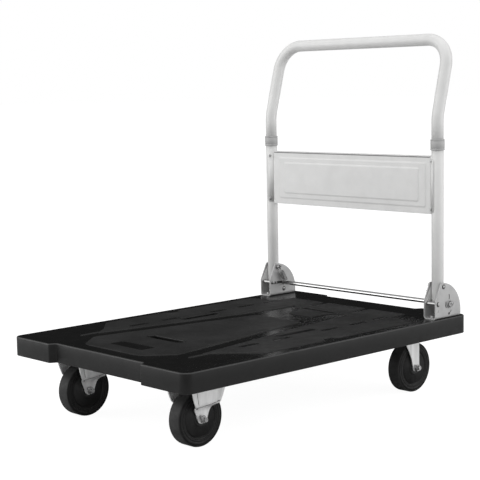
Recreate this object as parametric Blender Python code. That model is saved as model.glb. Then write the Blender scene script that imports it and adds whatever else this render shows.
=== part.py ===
"""Folding platform cart: moulded deck, fold-down tube handle, two fixed and two swivel casters.

Metres, +Z up. The cart stands on z = 0 with its handle at the +Y end, and +X is its right side.
"""
import math

import bmesh
import bpy
from mathutils import Matrix, Vector

GAP = 0.0003

# Deck
DECK_WIDTH = 0.600
DECK_LENGTH = 0.900
DECK_TOP = 0.186
SKIRT_BOTTOM = 0.1426
DECK_CORNER = 0.020
DECK_EDGE = 0.0025
DECK_WALL = 0.005
RIB = 0.004
PANEL_RISE = 0.0018
END_RECESS_DEPTH = 0.015
END_RECESS_HALF = 0.160
END_RECESS_RUN = 0.008
POCKET_TOP = 0.180
CASTER_PAD = 0.1523
PAD_MARGIN = 0.005
HINGE_BOSS_BOTTOM = 0.160
PANEL_TOP = DECK_TOP + PANEL_RISE
LABEL_LOW = (-0.055, -0.361)
LABEL_HIGH = (0.055, -0.324)
LABEL_DEPTH = 0.0012
HAND_SLOT_HALF = 0.058
FRONT_SLOT_Y = -0.247
FRONT_SLOT_HALF = 0.012
REAR_SLOT_Y = 0.250
REAR_SLOT_HALF = 0.0085
SIDE_SLOT_X = 0.163
SIDE_SLOT_LENGTH = 0.060
SIDE_SLOT_HALF = 0.011
DECK_BOLT_HOLE = 0.0035

# Wheels
WHEEL_RADIUS = 0.060
WHEEL_HALF = 0.0165
TYRE_INNER = 0.0446
HUB_OUTER = 0.0442
AXLE_RADIUS = 0.005
FORK_HALF = 0.0225
FIXED_SHEET = 0.003
FRONT_X = 0.1935
FRONT_Y = -0.3335
REAR_X = 0.2015
REAR_Y = 0.3500
SWIVEL_TRAIL = 0.033
PLATE_TOP = 0.152
PLATE_SHEET = 0.003
PLATE_HALF_X = 0.0425
PLATE_HALF_Y = 0.0525
AXLE_HEAD = 0.0088
AXLE_HEAD_HEIGHT = 0.006
AXLE_END = 0.0345
AXLE_NUT = 0.0090
AXLE_NUT_HEIGHT = 0.007
KING_PIN_RADIUS = 0.0060
KING_PIN_HEAD = 0.0095
SWIVEL_SHEET = 0.0025
SWIVEL_BACK = 0.0115

# Handle
TUBE_X = 0.2777
TUBE_Y = 0.3645
TUBE_RADIUS = 0.0143
TUBE_WALL = 0.0015
PIVOT_Z = DECK_TOP + 0.0765
TUBE_BOTTOM = PIVOT_Z - 0.040
SEAM_Z = DECK_TOP + 0.412
LEAN_Z = DECK_TOP + 0.478
BAR_Z = DECK_TOP + 0.659
BAR_SETBACK = 0.048
LEAN_RADIUS = 0.110
TOP_RADIUS = 0.065
SPIGOT_LENGTH = 0.050
COLLAR_HALF = 0.0125
COLLAR_OUTER = 0.0170

# Back panel
BACK_BOTTOM = DECK_TOP + 0.248
BACK_TOP = DECK_TOP + 0.386
BACK_SHEET = 0.0016
BACK_DEPTH = 0.0115

# Hinge brackets
BRACKET_INNER = 0.2600
BRACKET_OUTER = 0.2955
BRACKET_SHEET = 0.0024
BRACKET_FRONT = 0.3340
BRACKET_STEP_Z = DECK_TOP + 0.043
BRACKET_TOP_Y = 0.3545
FAN_Y = 0.358
FAN_Z = DECK_TOP + 0.0145
FAN_RADIUS = 0.0715
PIVOT_RADIUS = 0.004
STOP_RADIUS = 0.0050
STOP_Z = DECK_TOP + 0.0370

# Release bar
BAR_RADIUS = 0.0054
RELEASE_Y = 0.3862
RELEASE_Z = DECK_TOP + 0.0325
RELEASE_TRAVEL = 0.010

# Right leg of a fixed caster bracket, from its rounded foot up: outer face, height, half depth
FIXED_LEG = [(0.0225, 0.0515, 0.0100), (0.0225, 0.0560, 0.0135), (0.0225, 0.0720, 0.0180),
             (0.0240, 0.0855, 0.0225), (0.0400, 0.0930, 0.0330), (0.0410, 0.1100, 0.0420),
             (0.0422, 0.1300, 0.0485)]

# Right leg of a swivel fork, from its rounded foot up: height, front edge ahead of the axle
SWIVEL_LEG = [(0.0520, -0.0060), (0.0560, -0.0105), (0.0680, -0.0130), (0.0840, -0.0170),
              (0.1010, -0.0250), (0.1200, -0.0360)]

# Right halves of the deck's raised surfaces, in plan
MIDDLE_HALF = [(0.078, -0.400), (0.100, -0.394), (0.146, -0.338), (0.146, -0.322), (0.076, 0.100),
               (0.070, 0.108)]
TONGUE_HALF = [(0.044, 0.232), (0.100, 0.262), (0.100, 0.292), (0.062, 0.292), (0.062, 0.350)]
TONGUE_CORNER = 0.022
TONGUE_FRONT = 0.174
SIDE_PANEL = [(0.179, -0.300), (0.215, -0.255), (0.272, -0.205), (0.272, -0.022), (0.257, -0.012),
              (0.257, 0.012), (0.272, 0.022), (0.272, 0.275), (0.196, 0.292), (0.190, 0.350),
              (0.081, 0.350), (0.081, 0.292), (0.0995, 0.292), (0.0995, 0.190), (0.111, 0.100)]

SMOOTH_ANGLE = math.radians(35)


def clear_scene():
    """Remove whatever the startup file holds."""
    for item in list(bpy.data.objects):
        bpy.data.objects.remove(item, do_unlink=True)


def material(name, colour, metallic, roughness):
    """Return a plain Principled material."""
    made = bpy.data.materials.get(name)
    if made is None:
        made = bpy.data.materials.new(name)
        made.use_nodes = True
        shader = made.node_tree.nodes["Principled BSDF"]
        shader.inputs["Base Color"].default_value = (*colour, 1.0)
        shader.inputs["Metallic"].default_value = metallic
        shader.inputs["Roughness"].default_value = roughness
        made.diffuse_color = (*colour, 1.0)
    return made


def black_plastic():
    return material("black_plastic", (0.035, 0.035, 0.037), 0.0, 0.45)


def grey_paint():
    return material("grey_paint", (0.60, 0.61, 0.61), 0.0, 0.35)


def grey_plastic():
    return material("grey_plastic", (0.33, 0.33, 0.34), 0.0, 0.50)


def zinc():
    return material("zinc_plate", (0.62, 0.62, 0.60), 0.9, 0.35)


def bright_steel():
    return material("bright_steel", (0.70, 0.70, 0.70), 1.0, 0.20)


def tyre_rubber():
    return material("tyre_rubber", (0.025, 0.025, 0.026), 0.0, 0.60)


def hub_plastic():
    return material("hub_plastic", (0.030, 0.030, 0.032), 0.0, 0.40)


def finish(name, work, look, parent=None):
    """Turn a bmesh with world coordinates into a smooth-shaded object."""
    bmesh.ops.recalc_face_normals(work, faces=work.faces)
    mesh = bpy.data.meshes.new(name)
    work.to_mesh(mesh)
    work.free()
    mesh.materials.append(look)
    mesh.shade_smooth()
    mesh.set_sharp_from_angle(angle=SMOOTH_ANGLE)
    made = bpy.data.objects.new(name, mesh)
    bpy.context.scene.collection.objects.link(made)
    if parent is not None:
        mesh.transform(Matrix.Translation(-parent.location))
        made.parent = parent
    return made


def axis_empty(name, location, parent=None):
    """Return an empty that stands on a joint's axis."""
    made = bpy.data.objects.new(name, None)
    made.location = location
    bpy.context.scene.collection.objects.link(made)
    if parent is not None:
        made.parent = parent
        made.location = Vector(location) - parent.location
    return made


def skin(work, loops, ring=False):
    """Bridge equal loops of points in turn; cap the ends, or close them into a ring."""
    rows = [[work.verts.new(point) for point in loop] for loop in loops]
    count = len(rows[0])
    pairs = list(zip(rows, rows[1:]))
    if ring:
        pairs.append((rows[-1], rows[0]))
    else:
        work.faces.new(rows[0])
        work.faces.new(rows[-1])
    for first, second in pairs:
        for i in range(count):
            j = (i + 1) % count
            work.faces.new((first[i], first[j], second[j], second[i]))


def on_axis(axis, along, u, v):
    """Return a point from its place along an axis and its two cross coordinates."""
    if axis == "X":
        return (along, u, v)
    if axis == "Y":
        return (u, along, v)
    return (u, v, along)


def prism(work, axis, outline, low, high):
    """Add an outline extruded along an axis."""
    skin(work, [[on_axis(axis, at, u, v) for u, v in outline] for at in (low, high)])


def block(work, low, high):
    """Add a box."""
    outline = [(low[0], low[1]), (high[0], low[1]), (high[0], high[1]), (low[0], high[1])]
    prism(work, "Z", outline, low[2], high[2])


def circle(u, v, radius, sides):
    """Return the points of a circle."""
    steps = [2 * math.pi * i / sides for i in range(sides)]
    return [(u + radius * math.cos(a), v + radius * math.sin(a)) for a in steps]


def arc(u, v, radius, start, end, steps):
    """Return points along an arc, angles in degrees."""
    angles = [math.radians(start + (end - start) * i / steps) for i in range(steps + 1)]
    return [(u + radius * math.cos(a), v + radius * math.sin(a)) for a in angles]


def turned(work, axis, u, v, profile, sides):
    """Add a solid turned about an axis from (along, radius) pairs."""
    rows = [[on_axis(axis, at, *p) for p in circle(u, v, radius, sides)] for at, radius in profile]
    skin(work, rows)


def turned_ring(work, axis, u, v, profile, sides):
    """Add a turned solid with a bore; the profile is a closed loop of (along, radius) pairs."""
    rows = [[on_axis(axis, at, *p) for p in circle(u, v, radius, sides)] for at, radius in profile]
    skin(work, rows, ring=True)


def slot(u, v, half_u, half_v, steps=6):
    """Return an outline with round ends, long in u."""
    straight = half_u - half_v
    right = arc(u + straight, v, half_v, -90, 90, steps)
    left = arc(u - straight, v, half_v, 90, 270, steps)
    return right + left


def boolean(target, kind, work):
    """Apply an exact Boolean with the solids of a bmesh."""
    bmesh.ops.recalc_face_normals(work, faces=work.faces)
    mesh = bpy.data.meshes.new("cutter")
    work.to_mesh(mesh)
    work.free()
    cutter = bpy.data.objects.new("cutter", mesh)
    cutter.hide_render = True
    cutter.display_type = "WIRE"
    bpy.context.scene.collection.objects.link(cutter)
    if target.parent is not None:
        mesh.transform(Matrix.Translation(-target.parent.location))
    modifier = target.modifiers.new(kind, "BOOLEAN")
    modifier.operation = kind
    modifier.solver = "EXACT"
    modifier.object = cutter
    cutter.parent = target.parent
    bpy.context.view_layer.update()
    seen = target.evaluated_get(bpy.context.evaluated_depsgraph_get())
    result = bpy.data.meshes.new_from_object(seen)
    target.modifiers.clear()
    target.data = result
    bpy.data.objects.remove(cutter, do_unlink=True)
    result.shade_smooth()
    result.set_sharp_from_angle(angle=SMOOTH_ANGLE)


def mirrored(outline):
    """Return an outline with its first coordinate negated."""
    return [(-u, v) for u, v in reversed(outline)]


# Deck ---------------------------------------------------------------------------------------

def deck_outline(inset):
    """Return the deck's plan outline: rounded corners and a shallow recess along both ends."""
    half_w = DECK_WIDTH / 2 - inset
    half_l = DECK_LENGTH / 2 - inset
    radius = DECK_CORNER - inset
    cx = DECK_WIDTH / 2 - DECK_CORNER
    cy = DECK_LENGTH / 2 - DECK_CORNER
    recess_y = half_l - END_RECESS_DEPTH
    recess_out = END_RECESS_HALF + inset
    recess_in = recess_out - END_RECESS_RUN
    recess = [(recess_out, half_l), (recess_in, recess_y), (-recess_in, recess_y), (-recess_out, half_l)]
    points = [(-half_w, cy), (-half_w, -cy)]
    points += arc(-cx, -cy, radius, 180, 270, 6)[1:]
    points += [(-x, -y) for x, y in recess]
    points += arc(cx, -cy, radius, 270, 360, 6)
    points += arc(cx, cy, radius, 0, 90, 6)
    points += recess
    points += arc(-cx, cy, radius, 90, 180, 6)[:-1]
    return points


def raised_outlines():
    """Return the plan outlines of the deck's raised, matt surfaces."""
    middle = mirrored(MIDDLE_HALF) + MIDDLE_HALF
    tongue = arc(TONGUE_CORNER, TONGUE_FRONT + TONGUE_CORNER, TONGUE_CORNER, -90, 0, 4) + TONGUE_HALF
    tongue = mirrored(tongue) + tongue
    return [middle, tongue, SIDE_PANEL, mirrored(SIDE_PANEL)]


def pocket_cells():
    """Return the plan boxes of the ribbed hollow under the deck as (low corner, high corner)."""
    wall_x = DECK_WIDTH / 2 - DECK_WALL
    wall_y = DECK_LENGTH / 2 - DECK_WALL - END_RECESS_DEPTH
    ribs_x = (-0.133, -0.075, 0.075, 0.133)
    ribs_y = (-0.275, -0.090, 0.090, 0.235)
    columns = list(zip((-wall_x, *[x + RIB / 2 for x in ribs_x]), (*[x - RIB / 2 for x in ribs_x], wall_x)))
    rows = list(zip((-wall_y, *[y + RIB / 2 for y in ribs_y]), (*[y - RIB / 2 for y in ribs_y], wall_y)))
    return [((x0, y0), (x1, y1)) for x0, x1 in columns for y0, y1 in rows]


def caster_places():
    """Return the middle of each caster's mounting plate."""
    front = [(side * FRONT_X, FRONT_Y) for side in (-1, 1)]
    rear = [(side * REAR_X, REAR_Y - SWIVEL_TRAIL) for side in (-1, 1)]
    return front + rear


def deck_pads():
    """Return the boxes left solid under the deck: caster pads and the bosses of the hinge bolts."""
    top = POCKET_TOP + 0.001
    boxes = []
    for x, y in caster_places():
        half_x, half_y = PLATE_HALF_X + PAD_MARGIN, PLATE_HALF_Y + PAD_MARGIN
        boxes.append(((x - half_x, y - half_y, CASTER_PAD), (x + half_x, y + half_y, top)))
    for side in (-1, 1):
        (x, near), (_, far) = bracket_bolt_places(side)
        low, high = (x - 0.016, near - 0.012, HINGE_BOSS_BOTTOM), (x + 0.018, far + 0.012, top)
        if side < 0:
            low, high = (x - 0.018, low[1], low[2]), (x + 0.016, high[1], high[2])
        boxes.append((low, high))
    return boxes


def bracket_bolt_places(side):
    """Return the two deck bolts of one hinge bracket."""
    x = side * (BRACKET_INNER + BRACKET_OUTER) / 2
    return [(x, BRACKET_FRONT + 0.014), (x, BRACKET_FRONT + 0.079)]


def deck():
    """Build the moulded platform with its raised surfaces, hand slots and ribbed underside."""
    work = bmesh.new()
    levels = [(SKIRT_BOTTOM, 0.0), (DECK_TOP - DECK_EDGE, 0.0), (DECK_TOP - 0.3 * DECK_EDGE, 0.3 * DECK_EDGE),
              (DECK_TOP, DECK_EDGE)]
    skin(work, [[(x, y, z) for x, y in deck_outline(inset)] for z, inset in levels])
    made = finish("deck", work, black_plastic())
    for outline in raised_outlines():
        raised = bmesh.new()
        prism(raised, "Z", outline, DECK_TOP - PANEL_RISE, PANEL_TOP)
        boolean(made, "UNION", raised)
    hollow = bmesh.new()
    for (x0, y0), (x1, y1) in pocket_cells():
        block(hollow, (x0, y0, SKIRT_BOTTOM - 0.01), (x1, y1, POCKET_TOP))
    boolean(made, "DIFFERENCE", hollow)
    pads = bmesh.new()
    for low, high in deck_pads():
        block(pads, low, high)
    boolean(made, "UNION", pads)
    boolean(made, "DIFFERENCE", deck_cuts())
    return made


def deck_cuts():
    """Return the solids of the hand slots, the bolt holes and the shallow label recess."""
    cuts = bmesh.new()
    above = PANEL_TOP + 0.01
    prism(cuts, "Z", slot(0.0, FRONT_SLOT_Y, HAND_SLOT_HALF, FRONT_SLOT_HALF), SKIRT_BOTTOM, above)
    prism(cuts, "Z", slot(0.0, REAR_SLOT_Y, HAND_SLOT_HALF, REAR_SLOT_HALF), SKIRT_BOTTOM, above)
    for side in (-1, 1):
        side_slot = [(side * SIDE_SLOT_X + v, u) for u, v in slot(0.0, 0.0, SIDE_SLOT_LENGTH, SIDE_SLOT_HALF)]
        prism(cuts, "Z", side_slot, SKIRT_BOTTOM, above)
        for x, y in bracket_bolt_places(side):
            prism(cuts, "Z", circle(x, y, DECK_BOLT_HOLE, 12), HINGE_BOSS_BOTTOM - 0.01, above)
    block(cuts, (*LABEL_LOW, PANEL_TOP - LABEL_DEPTH), (*LABEL_HIGH, above))
    return cuts


# Wheels and casters -------------------------------------------------------------------------

def tyre(name, x, parent):
    """Build a rubber tyre with rounded shoulders."""
    y, z = parent.matrix_world.translation.y, WHEEL_RADIUS
    half = [(0.0, WHEEL_RADIUS), (0.009, WHEEL_RADIUS), (0.0137, 0.0585), (WHEEL_HALF, 0.0545),
            (WHEEL_HALF, 0.0465), (0.0150, TYRE_INNER), (0.0, TYRE_INNER)]
    profile = [(x + a, r) for a, r in half] + [(x - a, r) for a, r in reversed(half[1:-1])]
    work = bmesh.new()
    turned_ring(work, "X", y, z, profile, 36)
    return wheel_piece(name, work, tyre_rubber(), parent)


def hub(name, x, parent):
    """Build a moulded hub: rim, dished web and boss with its bore."""
    y, z = parent.matrix_world.translation.y, WHEEL_RADIUS
    half = [(0.0, HUB_OUTER), (0.0145, HUB_OUTER), (0.0145, 0.0385), (0.0100, 0.0365), (0.0085, 0.0200),
            (0.0190, 0.0165), (0.0190, AXLE_RADIUS + GAP), (0.0, AXLE_RADIUS + GAP)]
    profile = [(x + a, r) for a, r in half] + [(x - a, r) for a, r in reversed(half[1:-1])]
    work = bmesh.new()
    turned_ring(work, "X", y, z, profile, 36)
    return wheel_piece(name, work, hub_plastic(), parent)


def wheel_piece(name, work, look, parent):
    """Finish a piece that hangs from an empty, which may hang from another."""
    made = finish(name, work, look)
    made.data.transform(Matrix.Translation(-parent.matrix_world.translation))
    made.parent = parent
    return made


def axle(name, x, y, parent=None):
    """Build an axle bolt with its hexagon head on the -X side."""
    inner = x - FORK_HALF - GAP
    head = bmesh.new()
    turned(head, "X", y, WHEEL_RADIUS, [(inner - AXLE_HEAD_HEIGHT, AXLE_HEAD), (inner, AXLE_HEAD)], 6)
    made = finish(name, head, zinc(), parent)
    rod = bmesh.new()
    start = inner - AXLE_HEAD_HEIGHT / 2
    turned(rod, "X", y, WHEEL_RADIUS, [(start, AXLE_RADIUS), (x + AXLE_END, AXLE_RADIUS)], 16)
    boolean(made, "UNION", rod)
    return made


def axle_nut(name, x, y, parent=None):
    """Build a hexagon nut on the +X end of an axle."""
    outer = x + FORK_HALF + GAP
    work = bmesh.new()
    turned(work, "X", y, WHEEL_RADIUS, [(outer, AXLE_NUT), (outer + AXLE_NUT_HEIGHT, AXLE_NUT)], 6)
    made = finish(name, work, zinc(), parent)
    bore = bmesh.new()
    radius = AXLE_RADIUS + GAP
    turned(bore, "X", y, WHEEL_RADIUS, [(outer - 0.01, radius), (outer + 0.02, radius)], 16)
    boolean(made, "DIFFERENCE", bore)
    return made


def bent_sheet(work, x, stations):
    """Add a symmetric folded sheet from (outer, inner, front, back) stations on its right half."""
    right = []
    for (xo, zo), (xi, zi), front, back in stations:
        right.append([(xo, front, zo), (xo, back, zo), (xi, back, zi), (xi, front, zi)])
    left = [[(-px, py, pz) for px, py, pz in loop] for loop in reversed(right)]
    skin(work, [[(x + px, py, pz) for px, py, pz in loop] for loop in right + left])


def axle_hole(target, x, y):
    """Drill both legs of a fork for its axle."""
    work = bmesh.new()
    radius = AXLE_RADIUS + GAP
    turned(work, "X", y, WHEEL_RADIUS, [(x - 0.05, radius), (x + 0.05, radius)], 16)
    boolean(target, "DIFFERENCE", work)


def fixed_bracket(name, x, y):
    """Build the pressed bracket of a fixed caster: wide shoulders, a step, and narrow legs."""
    stations = []
    for outer_x, z, half_y in FIXED_LEG:
        stations.append(((outer_x, z), (outer_x - FIXED_SHEET, z + 0.0002), y - half_y, y + half_y))
    front, back = y - PLATE_HALF_Y, y + PLATE_HALF_Y
    bend = FIXED_SHEET
    outer = (PLATE_HALF_X, PLATE_TOP - bend)
    stations.append((outer, (PLATE_HALF_X - bend, PLATE_TOP - 2 * bend), front, back))
    corner = PLATE_HALF_X - 0.0025
    stations.append(((corner, PLATE_TOP), (corner - bend, PLATE_TOP - PLATE_SHEET), front, back))
    work = bmesh.new()
    bent_sheet(work, x, stations)
    made = finish(name, work, zinc())
    axle_hole(made, x, y)
    return made


def swivel_plate(name, x, y):
    """Build the fixed upper half of a swivel caster: mounting plate and race."""
    work = bmesh.new()
    low = (x - PLATE_HALF_X, y - PLATE_HALF_Y, PLATE_TOP - PLATE_SHEET)
    block(work, low, (x + PLATE_HALF_X, y + PLATE_HALF_Y, PLATE_TOP))
    made = finish(name, work, zinc())
    race = bmesh.new()
    turned(race, "Z", x, y, [(0.1442, 0.0245), (0.1466, 0.0300), (PLATE_TOP - 0.001, 0.0300)], 28)
    boolean(made, "UNION", race)
    bore = bmesh.new()
    radius = KING_PIN_RADIUS + GAP
    turned(bore, "Z", x, y, [(PLATE_TOP - 0.02, radius), (PLATE_TOP + 0.01, radius)], 16)
    boolean(made, "DIFFERENCE", bore)
    return made


def swivel_fork(name, x, axle_y, parent):
    """Build a swivel fork with straight-backed legs, a crown and a race that turns under the plate."""
    sheet = SWIVEL_SHEET
    swivel_y = axle_y - SWIVEL_TRAIL
    back = axle_y + SWIVEL_BACK
    stations = []
    for z, front in SWIVEL_LEG:
        stations.append(((FORK_HALF, z), (FORK_HALF - sheet, z), axle_y + front, back))
    stations.append(((FORK_HALF, 0.1355), (FORK_HALF - sheet, 0.1355 - sheet), swivel_y - 0.026, back))
    crown = FORK_HALF - 0.003
    stations.append(((crown, 0.1380), (crown - 0.002, 0.1380 - sheet), swivel_y - 0.028, back))
    work = bmesh.new()
    bent_sheet(work, x, stations)
    made = finish(name, work, zinc(), parent)
    race = bmesh.new()
    turned(race, "Z", x, swivel_y, [(0.1365, 0.0260), (0.1412, 0.0260), (0.1438, 0.0225)], 28)
    boolean(made, "UNION", race)
    bore = bmesh.new()
    radius = KING_PIN_RADIUS + GAP
    turned(bore, "Z", x, swivel_y, [(0.12, radius), (0.16, radius)], 16)
    boolean(made, "DIFFERENCE", bore)
    axle_hole(made, x, axle_y)
    return made


def king_pin(name, x, y, parent):
    """Build the king pin, whose head sits under the crown."""
    work = bmesh.new()
    turned(work, "Z", x, y, [(0.1292, KING_PIN_HEAD), (0.1350, KING_PIN_HEAD)], 16)
    made = finish(name, work, zinc(), parent)
    rod = bmesh.new()
    turned(rod, "Z", x, y, [(0.1320, KING_PIN_RADIUS), (0.1500, KING_PIN_RADIUS)], 16)
    boolean(made, "UNION", rod)
    return made


def wheel(prefix, x, y, parent=None):
    """Build one wheel on an empty at its axle."""
    spin = axis_empty(prefix + "_wheel_axis", (x, y, WHEEL_RADIUS), parent)
    bpy.context.view_layer.update()
    tyre(prefix + "_tyre", x, spin)
    hub(prefix + "_hub", x, spin)


def fixed_caster(side):
    """Build one front caster."""
    prefix = "front_" + side_name(side)
    x = side * FRONT_X
    fixed_bracket(prefix + "_caster_bracket", x, FRONT_Y)
    axle(prefix + "_axle", x, FRONT_Y)
    axle_nut(prefix + "_axle_nut", x, FRONT_Y)
    wheel(prefix, x, FRONT_Y)


def swivel_caster(side):
    """Build one rear caster, which turns about its king pin."""
    prefix = "rear_" + side_name(side)
    x = side * REAR_X
    swivel_y = REAR_Y - SWIVEL_TRAIL
    swivel_plate(prefix + "_caster_plate", x, swivel_y)
    turn = axis_empty(prefix + "_swivel_axis", (x, swivel_y, PLATE_TOP))
    swivel_fork(prefix + "_caster_fork", x, REAR_Y, turn)
    king_pin(prefix + "_king_pin", x, swivel_y, turn)
    axle(prefix + "_axle", x, REAR_Y, turn)
    axle_nut(prefix + "_axle_nut", x, REAR_Y, turn)
    wheel(prefix, x, REAR_Y, turn)


def side_name(side):
    return "right" if side > 0 else "left"


# Hinge brackets -----------------------------------------------------------------------------

def fan_outline():
    """Return a bracket cheek in (y, z): straight front, sloped shoulder and a quarter round behind."""
    base = DECK_TOP + GAP
    rear = FAN_Y + FAN_RADIUS
    outline = [(BRACKET_FRONT, base), (rear, base)]
    outline += arc(FAN_Y, FAN_Z, FAN_RADIUS, 0, 84, 14)
    outline += arc(BRACKET_TOP_Y + 0.004, FAN_Z + FAN_RADIUS - 0.006, 0.006, 95, 165, 3)
    outline.append((BRACKET_FRONT, BRACKET_STEP_Z))
    return outline


def hinge_bracket(side):
    """Build a U-shaped bracket with fan-shaped cheeks, bored for its pins and slotted for the bar."""
    inner, outer, sheet = BRACKET_INNER, BRACKET_OUTER, BRACKET_SHEET
    base = DECK_TOP + GAP
    top = FAN_Z + FAN_RADIUS + 0.01
    bend = 0.006
    channel = [(inner, top)] + arc(inner + bend, base + bend, bend, 180, 270, 4)
    channel += arc(outer - bend, base + bend, bend, 270, 360, 4) + [(outer, top)]
    channel += [(outer - sheet, top)] + arc(outer - bend, base + bend, bend - sheet, 360, 270, 4)
    channel += arc(inner + bend, base + bend, bend - sheet, 270, 180, 4) + [(inner + sheet, top)]
    channel = channel if side > 0 else mirrored(channel)
    work = bmesh.new()
    prism(work, "Y", channel, BRACKET_FRONT - 0.01, FAN_Y + FAN_RADIUS + 0.01)
    made = finish("hinge_bracket_" + side_name(side), work, zinc())
    fan = bmesh.new()
    prism(fan, "X", fan_outline(), side * inner - 0.08, side * inner + 0.08)
    boolean(made, "INTERSECT", fan)
    cuts = bmesh.new()
    low, high = side * inner - 0.06, side * inner + 0.06
    turned(cuts, "X", TUBE_Y, PIVOT_Z, [(low, PIVOT_RADIUS + GAP), (high, PIVOT_RADIUS + GAP)], 16)
    turned(cuts, "X", stop_y(), STOP_Z, [(low, 0.0034), (high, 0.0034)], 16)
    half_u = RELEASE_TRAVEL / 2 + BAR_RADIUS + 2 * GAP
    centre_y = RELEASE_Y + RELEASE_TRAVEL / 2
    prism(cuts, "X", slot(centre_y, RELEASE_Z, half_u, BAR_RADIUS + 2 * GAP, 8), low, high)
    for x, y in bracket_bolt_places(side):
        prism(cuts, "Z", circle(x, y, 0.0035, 12), base - 0.01, base + 0.01)
    boolean(made, "DIFFERENCE", cuts)
    return made


def stop_y():
    """Return the place of the pin that the tube rests against when it stands."""
    return TUBE_Y - TUBE_RADIUS - STOP_RADIUS - 2 * GAP


def pivot_bolt(side):
    """Build the bolt on which one handle tube turns, with its head outside."""
    inner = BRACKET_INNER - 0.012
    outer = BRACKET_OUTER + GAP
    work = bmesh.new()
    turned(work, "X", TUBE_Y, PIVOT_Z, [(side * outer, 0.0078), (side * (outer + 0.004), 0.0070)], 20)
    made = finish("pivot_bolt_" + side_name(side), work, zinc())
    rod = bmesh.new()
    ends = [(side * inner, PIVOT_RADIUS), (side * (outer + 0.002), PIVOT_RADIUS)]
    turned(rod, "X", TUBE_Y, PIVOT_Z, ends, 16)
    boolean(made, "UNION", rod)
    return made


def pivot_nut(side):
    """Build the nut on the inner end of a pivot bolt."""
    face = BRACKET_INNER - GAP
    work = bmesh.new()
    turned(work, "X", TUBE_Y, PIVOT_Z, [(side * face, 0.0075), (side * (face - 0.0065), 0.0075)], 6)
    made = finish("pivot_nut_" + side_name(side), work, zinc())
    bore = bmesh.new()
    radius = PIVOT_RADIUS + GAP
    turned(bore, "X", TUBE_Y, PIVOT_Z, [(side * (face + 0.01), radius), (side * (face - 0.02), radius)], 16)
    boolean(made, "DIFFERENCE", bore)
    return made


def stop_pin(side):
    """Build the pin that stops the tube in front, stepped down to fit its holes."""
    inner = side * (BRACKET_INNER - 0.001)
    outer = side * (BRACKET_OUTER + 0.001)
    body = [side * (BRACKET_INNER + BRACKET_SHEET + GAP), side * (BRACKET_OUTER - BRACKET_SHEET - GAP)]
    profile = [(inner, 0.0030), (body[0], 0.0030), (body[0], STOP_RADIUS), (body[1], STOP_RADIUS),
               (body[1], 0.0030), (outer, 0.0030)]
    work = bmesh.new()
    turned(work, "X", stop_y(), STOP_Z, profile, 16)
    return finish("stop_pin_" + side_name(side), work, zinc())


def bracket_bolts(side):
    """Build the bolts that hold one bracket on the deck."""
    head_low = DECK_TOP + GAP + BRACKET_SHEET + GAP
    for number, (x, y) in enumerate(bracket_bolt_places(side), 1):
        work = bmesh.new()
        turned(work, "Z", x, y, [(head_low, 0.0075), (head_low + 0.005, 0.0075)], 6)
        made = finish(f"bracket_bolt_{side_name(side)}_{number}", work, zinc())
        rod = bmesh.new()
        turned(rod, "Z", x, y, [(0.158, 0.0031), (head_low + 0.003, 0.0031)], 12)
        boolean(made, "UNION", rod)


def release_bar():
    """Build the foot bar across both hinges, on an empty at its middle."""
    centre = axis_empty("release_bar_axis", (0.0, RELEASE_Y, RELEASE_Z))
    reach = BRACKET_OUTER + 0.0045
    work = bmesh.new()
    turned(work, "X", RELEASE_Y, RELEASE_Z, [(-reach, BAR_RADIUS), (reach, BAR_RADIUS)], 16)
    finish("release_bar", work, bright_steel(), centre)
    for side in (-1, 1):
        cap = bmesh.new()
        near, far = side * (BRACKET_OUTER + GAP), side * (BRACKET_OUTER + 0.0025)
        bore = BAR_RADIUS + GAP
        turned_ring(cap, "X", RELEASE_Y, RELEASE_Z,
                    [(near, bore), (near, 0.0100), (far, 0.0093), (far, bore)], 20)
        finish("release_bar_washer_" + side_name(side), cap, zinc(), centre)


def return_spring(side):
    """Build the coil spring between a pivot bolt and the release bar, inside the bracket's cheek."""
    x = side * (BRACKET_INNER - 0.0095)
    top = Vector((x, TUBE_Y + 0.0040, PIVOT_Z - 0.0110))
    bottom = Vector((x, RELEASE_Y - 0.0022, RELEASE_Z + 0.0090))
    along = (bottom - top).normalized()
    across = Vector((1.0, 0.0, 0.0))
    up = along.cross(across)
    coils, coil_radius, wire, steps, sides = 7, 0.0042, 0.0007, 10, 5
    length = (bottom - top).length
    path = []
    for i in range(coils * steps + 1):
        angle = 2 * math.pi * i / steps
        path.append(top + along * (length * i / (coils * steps))
                    + (across * math.cos(angle) + up * math.sin(angle)) * coil_radius)
    work = bmesh.new()
    skin(work, wire_loops(path, wire, sides))
    return finish("return_spring_" + side_name(side), work, bright_steel())


# Handle -------------------------------------------------------------------------------------

def wire_loops(path, radius, sides):
    """Return circles of points square to a path, turned as little as possible from one to the next."""
    loops = []
    normal = None
    for i, point in enumerate(path):
        ahead = path[min(i + 1, len(path) - 1)]
        behind = path[max(i - 1, 0)]
        tangent = (ahead - behind).normalized()
        if normal is None:
            normal = tangent.orthogonal().normalized()
        normal = (normal - tangent * normal.dot(tangent)).normalized()
        binormal = tangent.cross(normal)
        loops.append([point + (normal * u + binormal * v) for u, v in circle(0.0, 0.0, radius, sides)])
    return loops


def lower_tube(side, parent):
    """Build a lower handle tube, open at both ends and drilled for its pivot."""
    x = side * TUBE_X
    inner = TUBE_RADIUS - TUBE_WALL
    work = bmesh.new()
    profile = [(TUBE_BOTTOM, TUBE_RADIUS), (SEAM_Z, TUBE_RADIUS), (SEAM_Z, inner), (TUBE_BOTTOM, inner)]
    turned_ring(work, "Z", x, TUBE_Y, profile, 24)
    made = finish("lower_tube_" + side_name(side), work, grey_paint(), parent)
    bore = bmesh.new()
    radius = PIVOT_RADIUS + GAP
    turned(bore, "X", TUBE_Y, PIVOT_Z, [(x - 0.03, radius), (x + 0.03, radius)], 16)
    boolean(made, "DIFFERENCE", bore)
    return made


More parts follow.
